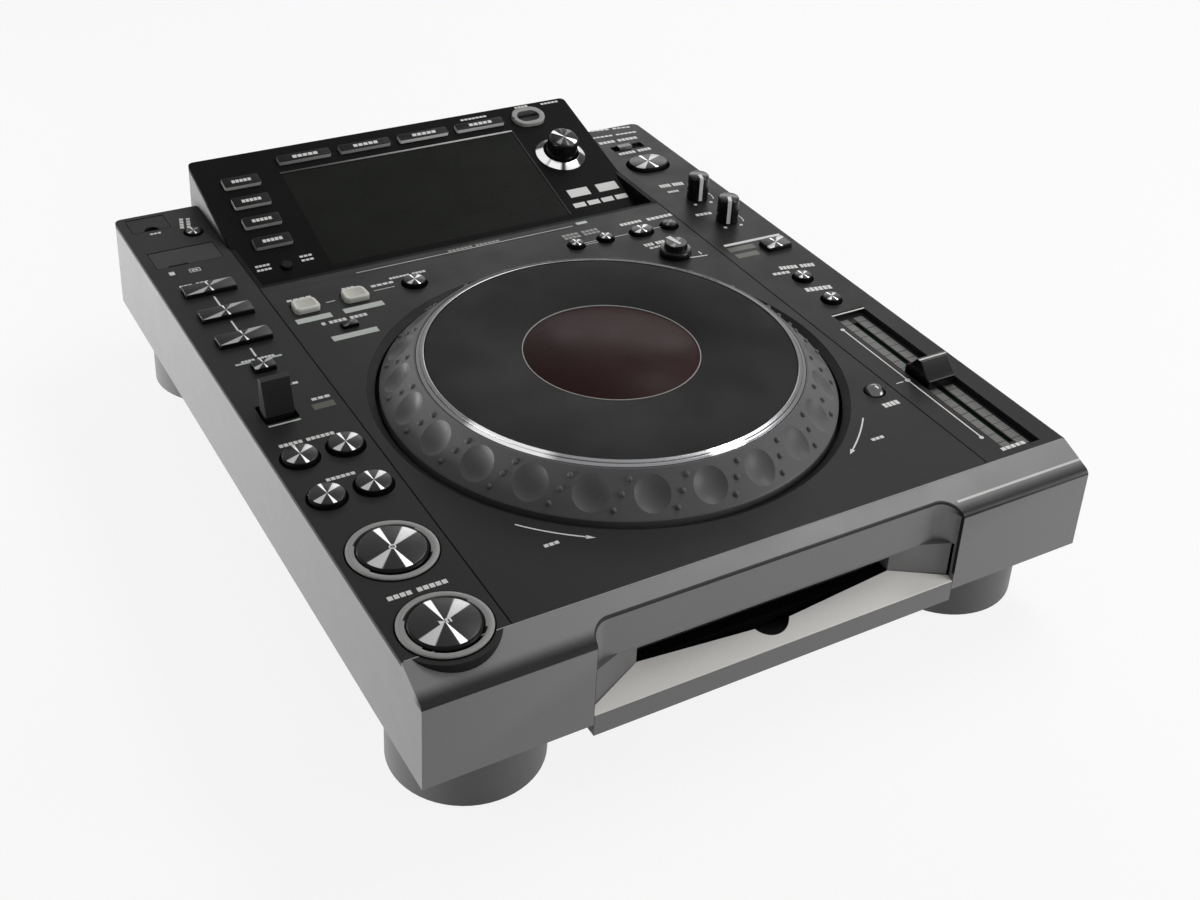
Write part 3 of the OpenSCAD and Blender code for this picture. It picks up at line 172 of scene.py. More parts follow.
def mixed(tree, amount, a, b):
    """Colour a where amount is 0, colour b where it is 1."""
    made = wire(tree, "ShaderNodeMix", {"Factor": amount}, data_type="RGBA")
    for key, value in ((6, a), (7, b)):
        if isinstance(value, bpy.types.NodeSocket):
            tree.links.new(value, made.inputs[key])
        else:
            made.inputs[key].default_value = value
    return made.outputs[2]


def ramp(tree, value, start, end, low=0.0, high=1.0):
    """Smooth step of a value from start to end."""
    made = wire(tree, "ShaderNodeMapRange", {0: value, 1: start, 2: end, 3: low, 4: high},
                interpolation_type="SMOOTHSTEP")
    return made.outputs[0]


def seen_directly(tree):
    """1 for rays from the camera, and for those that a reflection or glass sends on."""
    rays = wire(tree, "ShaderNodeLightPath").outputs
    return largest(tree, rays["Is Camera Ray"], rays["Is Glossy Ray"], rays["Is Transmission Ray"])


print("a mid grey of 128 is", [round(c, 3) for c in tone(128, 128, 128)])

# %% [markdown]
# ## Floor and background
# The player stands on a plain white sweep. More light would make it white but would wash out the
# player. To the camera, and in reflections, the floor is instead mostly its own white, and the
# rest of it takes light and keeps the shadow.

# %% White floor
WHITE = (1, 1, 1, 1)
OWN_WHITE = 0.86
FLOOR_HALF = 6.0
sweep = bpy.data.materials.new("white_floor")
sweep.use_nodes = True
tree = sweep.node_tree
tree.nodes.clear()
share = math_node(tree, "MULTIPLY", seen_directly(tree), OWN_WHITE)
matt = wire(tree, "ShaderNodeBsdfDiffuse", {"Color": (0.86, 0.86, 0.86, 1)})
white = wire(tree, "ShaderNodeEmission", {"Color": WHITE, "Strength": 1.0})
both = wire(tree, "ShaderNodeMixShader", {0: share, 1: matt.outputs[0], 2: white.outputs[0]})
wire(tree, "ShaderNodeOutputMaterial", {"Surface": both.outputs[0]})

bm = bmesh.new()
bmesh.ops.create_grid(bm, x_segments=1, y_segments=1, size=FLOOR_HALF)
sheet = bpy.data.meshes.new("floor")
bm.to_mesh(sheet)
bm.free()
sheet.materials.append(sweep)
floor = placed("floor", sheet)
floor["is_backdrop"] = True
print("floor", floor.dimensions[:])

# %% [markdown]
# ## Light
# Large soft lamps show the shapes without hard shadows. A low strip lamp on the left lights the
# side wall but stays below the panels, which are dark. One near the right front corner lights
# the front face, one high on the right lights the panels and the near side of the wheel, and a
# weak one behind lights the far edges. The world adds an even level, and is white where the
# camera or a reflection looks at it.

# %% Lamps and world
EVEN_LEVEL = 0.24


def soft_lamp(name, place, aim, size, power):
    """An area lamp that looks at a point."""
    lamp = bpy.data.lights.new(name, "AREA")
    lamp.shape = "RECTANGLE"
    lamp.size, lamp.size_y = size
    lamp.energy = power
    made = placed(name, lamp)
    made.location = place
    made.rotation_euler = (Vector(aim) - Vector(place)).to_track_quat("-Z", "Y").to_euler()


soft_lamp("left_lamp", (-0.64, 0.28, 0.036), (-0.16, 0.05, 0.036), (0.9, 0.055), 7.2)
soft_lamp("front_lamp", (0.80, -0.72, 0.30), (0.08, -0.20, 0.05), (0.5, 0.4), 5.0)
soft_lamp("high_lamp", (0.80, 0.20, 1.20), (0.0, 0.0, 0.08), (0.9, 0.4), 8.2)
soft_lamp("rear_lamp", (0.95, 1.35, 0.75), (0.1, 0.05, 0.08), (0.9, 0.3), 3)

world = bpy.data.worlds.new("studio")
world.use_nodes = True
bpy.context.scene.world = world
tree = world.node_tree
tree.nodes.clear()
even = wire(tree, "ShaderNodeBackground", {"Color": WHITE, "Strength": EVEN_LEVEL})
bright = wire(tree, "ShaderNodeBackground", {"Color": WHITE, "Strength": 1.0})
both = wire(tree, "ShaderNodeMixShader", {0: seen_directly(tree), 1: even.outputs[0], 2: bright.outputs[0]})
wire(tree, "ShaderNodeOutputWorld", {"Surface": both.outputs[0]})

# %% [markdown]
# ## Moulded and painted finishes
# Most of the player is moulded plastic: a dark or grey tone that varies a little, a fine grain
# and a soft gloss. A finish could be set up by hand for each piece, but one recipe makes them all
# from a colour, a gloss and a grain size, so they look like one maker's work.

# %% Recipe for moulded plastic


def moulded(name, colour, rough, grain, size, metal=0.0, shine=0.5, uneven=0.06):
    """Plastic or paint: colour with a slow variation, gloss that varies with it, fine grain."""
    finish = bpy.data.materials.new(name)
    finish.use_nodes = True
    tree = finish.node_tree
    shader = tree.nodes["Principled BSDF"]
    place = wire(tree, "ShaderNodeTexCoord").outputs["Object"]
    slow = wire(tree, "ShaderNodeTexNoise", {"Vector": place, "Scale": 45.0, "Detail": 3.0}).outputs[0]
    fine = wire(tree, "ShaderNodeTexNoise", {"Vector": place, "Scale": size, "Detail": 2.0}).outputs[0]
    base = tone(*colour)
    dark = tuple(c * (1 - uneven) for c in base[:3]) + (1,)
    light = tuple(min(1, c * (1 + uneven)) for c in base[:3]) + (1,)
    tree.links.new(mixed(tree, slow, dark, light), shader.inputs["Base Color"])
    tree.links.new(ramp(tree, slow, 0.3, 0.7, rough - 0.05, rough + 0.05), shader.inputs["Roughness"])
    bump = wire(tree, "ShaderNodeBump", {"Height": fine, "Strength": grain, "Distance": 0.0002})
    tree.links.new(bump.outputs[0], shader.inputs["Normal"])
    shader.inputs["Metallic"].default_value = metal
    shader.inputs["Specular IOR Level"].default_value = shine
    return finish


case_paint = moulded("case_paint", (117, 117, 117), 0.42, 0.10, 3000, metal=0.2, shine=0.3, uneven=0.03)
black_panel = moulded("black_panel", (36, 36, 36), 0.42, 0.12, 2600, shine=0.08)
block_black = moulded("block_black", (22, 22, 22), 0.38, 0.08, 2600, shine=0.02)
foot_plastic = moulded("foot_plastic", (96, 96, 96), 0.5, 0.10, 2200, shine=0.25)
chassis_paint = moulded("chassis_paint", (116, 116, 116), 0.55, 0.2, 1800, shine=0.3)
slot_grey = moulded("slot_grey", (112, 112, 112), 0.5, 0.10, 2600, shine=0.2)
lip_light = moulded("lip_light", (238, 236, 231), 0.45, 0.08, 2600, shine=0.3, uneven=0.03)
ring_grey = moulded("ring_grey", (91, 91, 91), 0.38, 0.10, 2600, shine=0.12)
plate_black = moulded("plate_black", (34, 34, 34), 0.6, 0.25, 4200, shine=0.06)
key_dark = moulded("key_dark", (26, 26, 27), 0.3, 0.05, 3000, shine=0.08)
key_side = moulded("key_side", (16, 16, 16), 0.35, 0.05, 3000, shine=0.08)
key_cream = moulded("key_cream", (190, 189, 179), 0.35, 0.06, 2400, shine=0.2, uneven=0.03)
key_rim = moulded("key_rim", (220, 220, 211), 0.35, 0.06, 2400, shine=0.2, uneven=0.03)
key_pale = moulded("key_pale", (150, 151, 149), 0.4, 0.06, 2400, shine=0.2, uneven=0.03)
# A lighter copy of the pale key plastic: a painted highlight on the sides of the right menu keys.
key_pale_highlight = moulded("key_pale_highlight", (214, 215, 213), 0.4, 0.06, 2400, shine=0.2, uneven=0.03)
knob_gloss = moulded("knob_gloss", (16, 16, 16), 0.22, 0.03, 2600, shine=0.2)
door_grey = moulded("door_grey", (58, 58, 58), 0.45, 0.10, 2600, shine=0.08)
dark_well = moulded("dark_well", (14, 14, 14), 0.7, 0.15, 2200, shine=0.0)
white_ink = moulded("white_ink", (226, 226, 224), 0.5, 0.05, 4000, shine=0.2, uneven=0.03)
grey_ink = moulded("grey_ink", (150, 150, 148), 0.5, 0.05, 4000, shine=0.2, uneven=0.03)
lamp_window = moulded("lamp_window", (96, 96, 88), 0.35, 0.04, 3000, shine=0.1)
board_green = moulded("board_green", (30, 78, 48), 0.45, 0.12, 900, shine=0.4, uneven=0.15)
black_steel = moulded("black_steel", (36, 36, 37), 0.35, 0.10, 1600, metal=0.8)
drive_steel = moulded("drive_steel", (150, 152, 154), 0.38, 0.12, 700, metal=0.9, uneven=0.08)
print("finishes", len(bpy.data.materials))

# %% [markdown]
# ## A second colour
# Some mouldings are painted in two tones, and some get painted shade or a painted highlight along
# an edge. They could be cut into two pieces, but a finish that changes colour by its place on the
# player leaves no seam.
# A mask is built from sums on the coordinates, and is 1 where the second colour shows.

# %% A second colour on a finish


def parts_of(finish, shift=(0.0, 0.0, 0.0)):
    """The node tree of a finish, and the three coordinates of the point it colours."""
    tree = finish.node_tree
    place = wire(tree, "ShaderNodeTexCoord").outputs["Object"]
    moved = wire(tree, "ShaderNodeMapping", {"Vector": place, "Location": shift})
    return tree, wire(tree, "ShaderNodeSeparateXYZ", {0: moved.outputs[0]}).outputs


def between(tree, value, start, end):
    """1 where a length lies between two lengths in mm."""
    above = math_node(tree, "GREATER_THAN", value, start * MM)
    return product(tree, above, math_node(tree, "LESS_THAN", value, end * MM))


def painted_over(finish, amount, colour):
    """Puts a second colour over the finish where amount is 1."""
    tree = finish.node_tree
    base = tree.nodes["Principled BSDF"].inputs["Base Color"]
    tree.links.new(mixed(tree, amount, base.links[0].from_socket, tone(*colour)), base)


print("helpers for two-tone finishes ready")

# %% [markdown]
# ## Spun metal
# The round keys have turned metal caps. Turning leaves rings too fine to see, and they throw
# the light back in two bow-ties, a narrow bright one and a wide softer one. The bow-ties are
# painted highlights: lighter sectors in the colour, set by the angle about the key's centre. The
# caps carry their own flat map, centred on the key, so one finish serves every key at any place and tilt.

# %% Spun metal


def sector(tree, angle, middle, inner, outer, both=True):
    """1 inside a sector around a direction, and in the opposite one too if both."""
    along = math_node(tree, "COSINE", math_node(tree, "SUBTRACT", angle, math.radians(middle)))
    if both:
        along = math_node(tree, "ABSOLUTE", along)
    return ramp(tree, along, math.cos(math.radians(outer)), math.cos(math.radians(inner)))


def spun(name, dark, painted_highlights, rough=0.3, metal=0.9):
    """Turned metal that reads the piece's own flat map, whose centre is the key's centre.

    Each sector is a painted highlight: its middle, its full and its fading half width in degrees,
    whether it has a twin on the other side, and its colour.
    """
    finish = bpy.data.materials.new(name)
    finish.use_nodes = True
    tree = finish.node_tree
    shader = tree.nodes["Principled BSDF"]
    flat = wire(tree, "ShaderNodeTexCoord").outputs["UV"]
    centred = wire(tree, "ShaderNodeMapping", {"Vector": flat, "Location": (-0.5, -0.5, 0)})
    split = wire(tree, "ShaderNodeSeparateXYZ", {0: centred.outputs[0]})
    angle = math_node(tree, "ARCTAN2", split.outputs["Y"], split.outputs["X"])
    shade = tone(*dark)
    for middle, inner, outer, both, colour in painted_highlights:
        shade = mixed(tree, sector(tree, angle, middle, inner, outer, both), shade, tone(*colour))
    tree.links.new(shade, shader.inputs["Base Color"])
    radius = wire(tree, "ShaderNodeVectorMath", {0: centred.outputs[0]}, operation="LENGTH")
    rings = math_node(tree, "SINE", math_node(tree, "MULTIPLY", radius.outputs["Value"], 900.0))
    bump = wire(tree, "ShaderNodeBump", {"Height": rings, "Strength": 0.06, "Distance": 0.0001})
    tree.links.new(bump.outputs[0], shader.inputs["Normal"])
    tree.links.new(ramp(tree, rings, -1.0, 1.0, rough - 0.04, rough + 0.04), shader.inputs["Roughness"])
    shader.inputs["Metallic"].default_value = metal
    return finish


# The lighter sectors of these finishes are painted highlights.
spun_metal = spun("spun_metal", (40, 40, 41),
                  ((35, 12, 17, True, (172, 172, 172)), (96, 5, 8, True, (246, 246, 246))))
spun_dark = spun("spun_dark", (28, 28, 29),
                 ((35, 12, 17, True, (150, 150, 150)), (96, 5, 8, True, (225, 225, 225))))
spun_shards = spun("spun_shards", (26, 26, 27),
                   ((128, 9, 13, True, (236, 236, 236)), (38, 8, 14, True, (96, 96, 97)),
                    (84, 4, 7, True, (70, 70, 71))))
spun_black = spun("spun_black", (20, 20, 21), ((40, 10, 16, True, (90, 90, 90)),), 0.25)
# Painted reflections: the bright arcs of the chrome dish around the selector.
chrome_painted_arcs = spun("chrome_painted_arcs", (60, 60, 61),
                   ((180, 22, 34, False, (235, 235, 235)), (228, 12, 20, False, (240, 240, 240)),
                    (276, 14, 24, False, (232, 232, 232)), (6, 20, 32, False, (226, 226, 226))), 0.15, 1.0)
# Painted highlights: bright sectors towards the front of the wheel's trim.
trim_metal = spun("trim_metal", (112, 112, 113),
                  ((252, 24, 60, False, (132, 132, 134)), (210, 10, 16, False, (226, 226, 226)),
                   (274, 4, 7, False, (244, 244, 244))), 0.22, 1.0)
print("spun finishes made")

# %% [markdown]
# ## Turned and pressed pieces
# A knob or a cap is a profile spun about its axis, which follows the real shape better than a
# stack of cylinders. A bar key is a block whose upright edges are rounded first and its top edge
# after. Both get their flat map before they go to their places.

# %% Helpers for new pieces
MAP_SIZE = 0.05
CREASE = math.radians(35)
TINY = 1e-7


def finished(name, bm, place, body, finishes):
    """Writes the flat map, moves the piece to its place, and lets it ride on its body."""
    bmesh.ops.remove_doubles(bm, verts=bm.verts, dist=TINY)
    bmesh.ops.recalc_face_normals(bm, faces=bm.faces)
    layer = bm.loops.layers.uv.verify()
    for face in bm.faces:
        for loop in face.loops:
            loop[layer].uv = (loop.vert.co.x / MAP_SIZE + 0.5, loop.vert.co.y / MAP_SIZE + 0.5)
    bmesh.ops.transform(bm, matrix=place, verts=bm.verts)
    mesh = bpy.data.meshes.new(name)
    bm.to_mesh(mesh)
    bm.free()
    for finish in finishes:
        mesh.materials.append(finish)
    mesh.set_sharp_from_angle(angle=CREASE)
    for face in mesh.polygons:
        face.use_smooth = True
    piece = placed(name, mesh)
    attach(piece, body)
    return piece


def spin_profile(bm, profile, steps=64, start=0.0, sweep=360.0):
    """Spins a line of (radius, height) points in mm about the upright axis."""
    turn = Matrix.Rotation(math.radians(start), 4, "Z")
    points = [bm.verts.new(turn @ Vector((r * MM, 0, z * MM))) for r, z in profile]
    edges = [bm.edges.new(pair) for pair in zip(points, points[1:])]
    bmesh.ops.spin(bm, geom=points + edges, axis=(0, 0, 1), cent=(0, 0, 0),
                   angle=math.radians(sweep), steps=steps, use_merge=sweep == 360.0)


def closed(profile):
    """The profile of a ring, led back to its first point."""
    return list(profile) + [profile[0]]


def band(inner, outer, low, high):
    """The profile of a flat ring."""
    return [(inner, low), (outer, low), (outer, high), (inner, high)]


def by_height(bm, height):
    """Flat faces above a height take the first finish, and the rest take the second."""
    bm.normal_update()
    for face in bm.faces:
        top = face.calc_center_median().z > height * MM and abs(face.normal.z) > 0.6
        face.material_index = 0 if top else 1


def block(bm, middle, size, turn=0.0):
    """A plain block, in mm, turned by some degrees; gives back its corners."""
    place = Matrix.Translation([c * MM for c in middle]) @ Matrix.Rotation(math.radians(turn), 4, "Z")
    scale = Matrix.Diagonal([c * MM for c in size] + [1])
    return bmesh.ops.create_cube(bm, size=1.0, matrix=place @ scale)["verts"]


def disc(bm, place, radius, thick, sides):
    """A flat disc in mm, or a triangle if it has three sides."""
    bmesh.ops.create_cone(bm, cap_ends=True, segments=sides, radius1=radius * MM, radius2=radius * MM,
                          depth=thick * MM, matrix=place)


def bar_block(bm, width, depth, low, high, corner, edge, segments=4):
    """A block with rounded uprights and a rounded top edge, in mm, around the origin."""
    corners = block(bm, (0, 0, (low + high) / 2), (width, depth, high - low))
    edges = {e for v in corners for e in v.link_edges}
    uprights = [e for e in edges if abs(e.verts[0].co.z - e.verts[1].co.z) > 1e-6]
    if corner > 0:
        bmesh.ops.bevel(bm, geom=uprights, offset=corner * MM, affect="EDGES", segments=segments,
                        profile=0.5, material=-1)
    if edge > 0:
        rim = [e for e in bm.edges if all(abs(v.co.z - high * MM) < TINY for v in e.verts)]
        bmesh.ops.bevel(bm, geom=rim, offset=edge * MM, affect="EDGES", segments=3, profile=0.5,
                        material=-1)


print("helpers ready")

# %% [markdown]
# ## Softened solids
# A real moulding has no knife edges: every edge carries a tiny radius that catches a line of
# light. The solid is copied, its flat triangles are joined, and a small bevel modifier rounds
# its sharp edges. The sharp solid is then hidden. Faces that look down may take a second, darker
# finish, as painted shade.

# %% Soften a solid


def loose_bodies(bm):
    """The sets of vertices that hang together, with the corners of their boxes in mm."""
    left, found = set(bm.verts), []
    while left:
        island, edge = set(), [left.pop()]
        while edge:
            vert = edge.pop()
            island.add(vert)
            near = [e.other_vert(vert) for e in vert.link_edges]
            edge += [v for v in near if v in left]
            left.difference_update(near)
        low = Vector([min(v.co[i] for v in island) for i in range(3)]) / MM
        high = Vector([max(v.co[i] for v in island) for i in range(3)]) / MM
        found.append((island, low, high))
    return found


def softened(node, width, finishes, body="player", suffix="_skin", keep=None, segments=2):
    """Copy of a solid with rounded edges, in mm; keep may choose among its loose bodies."""
    bm = bmesh.new()
    bm.from_mesh(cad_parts[node].data)
    bmesh.ops.remove_doubles(bm, verts=bm.verts, dist=TINY)
    for island, low, high in loose_bodies(bm) if keep else ():
        if not keep(low, high):
            bmesh.ops.delete(bm, geom=list(island), context="VERTS")
    bmesh.ops.dissolve_limit(bm, angle_limit=math.radians(0.5), verts=bm.verts, edges=bm.edges,
                             delimit={"NORMAL"})
    mesh = bpy.data.meshes.new(node + suffix)
    bm.to_mesh(mesh)
    bm.free()
    for finish in finishes:
        mesh.materials.append(finish)
    for face in mesh.polygons:
        face.use_smooth = True
        # Painted shade: with a second finish, the faces that look down take it.
        face.material_index = 1 if len(finishes) > 1 and face.normal.z < -0.3 else 0
    mesh.set_sharp_from_angle(angle=math.radians(30))
    piece = placed(node + suffix, mesh)
    bevel = piece.modifiers.new("edges", "BEVEL")
    bevel.width = width * MM
    bevel.segments = segments
    bevel.limit_method = "ANGLE"
    bevel.angle_limit = CREASE
    bevel.harden_normals = True
    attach(piece, body)
    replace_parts(piece, node)
    return piece


def dress(node, finish):
    """Gives a solid that keeps its own shape its finish."""
    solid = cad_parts[node]
    for slot in solid.material_slots:
        slot.material = finish
    if not solid.material_slots:
        solid.data.materials.append(finish)


print("helpers for solids ready")

# %% [markdown]
# ## Case, feet and panels
# The case is a painted moulding whose front edge rolls over into the front face, so it gets
# rounded edges. The three black panels, the feet and the inner parts keep the shape of their
# solids and take their finishes.

# %% Case and panels
softened("housing", 0.5, [case_paint])
for node, finish in (("bottom_chassis", chassis_paint), ("feet", foot_plastic),
                     ("case_screws", black_steel), ("deck_left", black_panel),
                     ("deck_centre", black_panel), ("deck_right", black_panel),
                     ("display_housing", block_black), ("drive_frame", drive_steel),
                     ("circuit_boards", board_green), ("rear_ports", key_side),
                     ("usb_cover", black_panel), ("card_door", door_grey), ("power_switch", key_side)):
    dress(node, finish)
print("case and panels dressed")

# %% [markdown]
# ## Dark edges of the case
# Where the front slope rolls over, the paint turns away from the light and looks nearly black,
# and so do the edges of the recess in the front face. A very round edge could show this by
# itself only under one light, so the paint carries it. The recess is a slot with round corners
# in plan, so its wall lies at one distance from its spine.

# %% Dark roll and recess edges
SPINE = 79.6
LIP_RISE = 0.403
SHADE = (18, 18, 18)
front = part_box("housing")[0][1]
tree, (across, along, up) = parts_of(case_paint, (0, -front, 0))
past_spine = math_node(tree, "SUBTRACT", math_node(tree, "ABSOLUTE", across), SPINE * MM)
plan = wire(tree, "ShaderNodeCombineXYZ", {0: largest(tree, past_spine, 0.0), 1: along})
apart = wire(tree, "ShaderNodeVectorMath", {0: plan.outputs[0]}, operation="LENGTH").outputs["Value"]
slope = math_node(tree, "SUBTRACT", up, math_node(tree, "MULTIPLY", along, LIP_RISE))
fade = math_node(tree, "SUBTRACT", 1.0, ramp(tree, along, 0.002, 0.0075))
roll = product(tree, fade, math_node(tree, "GREATER_THAN", up, 69.9 * MM))
rear_edge = product(tree, between(tree, apart, 8.7, 9.6), between(tree, slope, 70.2, 72.0))
side_edge = product(tree, between(tree, along, -1, 1.6), between(tree, apart, 8.7, 9.2),
                    between(tree, up, 40, 71.7))
painted_over(case_paint, largest(tree, roll, rear_edge, side_edge), SHADE)

# A painted highlight: a light line on the right part of the front slope, above the dark roll.
right_side = math_node(tree, "GREATER_THAN", across, 89.5 * MM)
painted_glint = product(tree, between(tree, along, 6.0, 7.0), between(tree, up, 70, 75), right_side)
painted_over(case_paint, painted_glint, (178, 177, 176))
print("roll starts at y", front)

# %% [markdown]
# ## Skirt of the screen block
# The block is black on top, and its side walls are painted like the case from a little below the
# edge. The tilt of the top is taken off the height, so the line between the two follows it.

# %% Grey skirt of the block
SKIRT = 3.2
low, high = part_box("display_housing")
tree, (across, along, up) = parts_of(block_black, (0.0, -FOLD * MM, -DECK * MM))
depth = math_node(tree, "SUBTRACT", math_node(tree, "MULTIPLY", along, math.tan(TILT)), up)
side = math_node(tree, "GREATER_THAN", math_node(tree, "ABSOLUTE", across), high[0] - SKIRT * MM)
rear = math_node(tree, "GREATER_THAN", along, high[1] - (FOLD + SKIRT) * MM)
skirt = product(tree, largest(tree, side, rear), ramp(tree, depth, 0.0020, 0.0023))
painted_over(block_black, skirt, (112, 112, 112))
print("block is", round(high[0] - low[0], 4), "wide")

# %% [markdown]
# ## Disc slot
# The bezel is a grey funnel in the recess of the front face. Below the slot lies a light
# loading lip with a shallow V and a notch for a finger. They are two bodies of one solid, so
# each is copied on its own and takes its own finish. The funnel's faces that look down and its
# inner walls deep in the slot take a near-black finish as painted shade.

# %% Bezel and loading lip
LIP_TOP = 45
SLOT_SHADE_DEPTH = 13.2
SLOT_HALF = 60
funnel = softened("slot_bezel", 0.3, [slot_grey, dark_well], suffix="_funnel",
                  keep=lambda low, high: high[2] > LIP_TOP)
slot_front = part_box("slot_bezel")[0][1] + SLOT_SHADE_DEPTH * MM
# Painted shade: the inner walls deep in the slot take the near-black finish, as do the faces that look
# down.
for face in funnel.data.polygons:
    if face.center.y > slot_front and abs(face.center.x) < SLOT_HALF * MM:
        face.material_index = 1
softened("slot_bezel", 0.25, [lip_light], suffix="_lip", keep=lambda low, high: high[2] <= LIP_TOP)
print("slot pieces made")

# %% [markdown]
# ## Jog wheel
# The wheel has a grey ring with finger dimples, which its solid already has, and turns in a dark
# well whose sloping rim is a little lighter. In the middle a dark glass window covers a display.

# %% Well, ring and window finishes
low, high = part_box("jog_base")
JOG_Y = (low[1] + high[1]) / 2 / MM
PLATE = DECK + 16
TRIM = 88.5
dress("jog_ring", ring_grey)

rim_paint = moulded("well_paint", (20, 20, 20), 0.5, 0.1, 2600, shine=0.1)
tree, (across, along, up) = parts_of(rim_paint, (0, 0, -DECK * MM))
painted_over(rim_paint, ramp(tree, up, -0.0024, -0.0022), (24, 24, 24))
dress("jog_base", rim_paint)

glass = moulded("window_glass", (50, 33, 33), 0.3, 0.02, 3000, shine=0.02, uneven=0.12)
screen_glass = moulded("screen_glass", (28, 30, 27), 0.3, 0.01, 3000, shine=0.03, uneven=0.05)
print("wheel centre at y", JOG_Y)

# %% [markdown]
# ## Touch plate
# The top of the wheel is a matt plate inside a bright trim with a lower step, and the window
# lies in it inside a thin line. The trim's bright highlights towards the front are painted into
# its finish. All four are turned pieces, so each is a profile spun about the wheel's axis. Many
# steps keep the large circles smooth.

# %% Touch plate, trim and window


def turned(name, profile, place, body, finishes, steps=64, closed_ring=False, top=None):
    """A spun piece; above the height top its upward faces take the first finish."""
    bm = bmesh.new()
    spin_profile(bm, closed(profile) if closed_ring else profile, steps)
    if top is not None:
        bmesh.ops.recalc_face_normals(bm, faces=bm.faces)
        by_height(bm, top)
    return finished(name, bm, place, body, finishes)


wheel = Matrix.Translation((0, JOG_Y * MM, PLATE * MM))
plate_line = [(40.9, -2), (TRIM - 3.7, -2), (TRIM - 3.7, -0.3), (TRIM - 4.0, 0), (41.2, 0), (40.9, -0.2)]
touch_plate = turned("touch_plate", plate_line, wheel, "jog_plate", [plate_black], 180, True)
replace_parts(touch_plate, "jog_plate")
trim_line = [(-3.5, -2), (0, -2), (0, -1.1), (-0.2, -0.85), (-1.4, -0.45), (-1.55, -0.65), (-1.75, -0.65),
             (-1.85, -0.1), (-3.1, 0.35), (-3.5, 0.2)]
turned("plate_trim", [(TRIM + r, z) for r, z in trim_line], wheel, "jog_plate", [trim_metal], 180, True)
turned("window", [(0, -2), (40.3, -2), (40.3, -0.4), (39.9, -0.15), (0, -0.1)],
       wheel, "jog_plate", [glass], 128)
turned("window_line", band(40.35, 40.85, -1.2, 0.04), wheel, "jog_plate", [grey_ink], 128, True)
print("touch plate made")

# %% [markdown]
# ## Bumps between the dimples
# Three small bumps lie in a slanted row between each two dimples, and stop a finger that slips.
# They are moulded with the ring. Small spheres that sink halfway into its face show the same,
# and are placed by their share of the way from the face's inner edge to its outer one.

# %% Grip bumps
GAPS = 24
BUMP_R = 1.3
bm = bmesh.new()
low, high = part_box("jog_ring")
INNER, OUTER = (TRIM + 1.1, 14.8), ((high[0] - low[0]) / 2 / MM - 0.5, 0.3)
for i in range(GAPS):
    for share, lean in ((0.20, 1.9), (0.50, 0.0), (0.82, -1.9)):
        reach, height = (a + share * (b - a) for a, b in zip(INNER, OUTER))
        angle = math.radians((i + 0.18) * 360 / GAPS + lean)
        spot = Matrix.Translation((reach * math.cos(angle) * MM, reach * math.sin(angle) * MM, height * MM))
        bmesh.ops.create_uvsphere(bm, u_segments=12, v_segments=6, radius=BUMP_R * MM, matrix=spot)
finished("grip_bumps", bm, on_deck(0, JOG_Y), "jog_ring", [ring_grey])
print("bumps", GAPS * 3)

# %% [markdown]
# ## Play and cue keys
# Each big key sits in a light ring that glows on the real player. The ring lies in the deck
# and is a little wider at its left and right. The key is a turned cap with a dark skirt, and a
# small sign lies on top: a triangle and two bars for play and pause, a plain ring for cue.

# %% Big keys
ring_line = [(15.7, -0.5), (18.3, -0.5), (18.3, 0.5), (17.9, 0.75), (16.0, 0.75), (15.7, 0.6)]
ear_line = [(14.9, -0.5), (15.9, -0.5), (15.9, 0.72), (15.1, 0.72), (14.9, 0.6)]
cap_line = [(0, 1.75), (12.9, 1.75), (13.4, 1.6), (14.3, 0.7), (14.4, 0.3), (14.4, -2.6), (0, -2.6)]
for key in ("play_button", "cue_button"):
    place = at_key(key)
    bm = bmesh.new()
    spin_profile(bm, closed(ring_line), 96)
    for start in (-32, 148):
        spin_profile(bm, closed(ear_line), 18, start, 64)
    bmesh.ops.holes_fill(bm, edges=[e for e in bm.edges if e.is_boundary], sides=8)
    finished(key + "_ring", bm, place, "player", [key_pale])
    turned(key + "_outline", band(18.3, 19.0, -0.4, 0.12), place, "player", [dark_well], 96, True)
    cap = turned(key + "_cap", cap_line, place, key, [spun_metal, key_side], 96, top=1.5)
    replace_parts(cap, key)
print("big keys made")

# %% Signs of the big keys
SIGN_Z = 1.8
bm = bmesh.new()
left = Matrix.Translation((-1.6 * MM, 0, SIGN_Z * MM)) @ Matrix.Rotation(-math.pi / 2, 4, "Z")
disc(bm, left, 1.5, 0.1, 3)
for x in (0.7, 2.1):
    block(bm, (x, 0, SIGN_Z), (0.8, 2.4, 0.1))
finished("play_sign", bm, at_key("play_button"), "play_button", [white_ink])
bm = bmesh.new()
spin_profile(bm, closed(band(0.9, 1.5, 1.75, 1.85)), 32)
finished("cue_sign", bm, at_key("cue_button"), "cue_button", [white_ink])
print("signs made")

# %% [markdown]
# ## Small round keys
# The track, search, loop, memory and tempo keys are small turned caps of different sizes. One
# table gives each its radius and height, and one loop spins them.

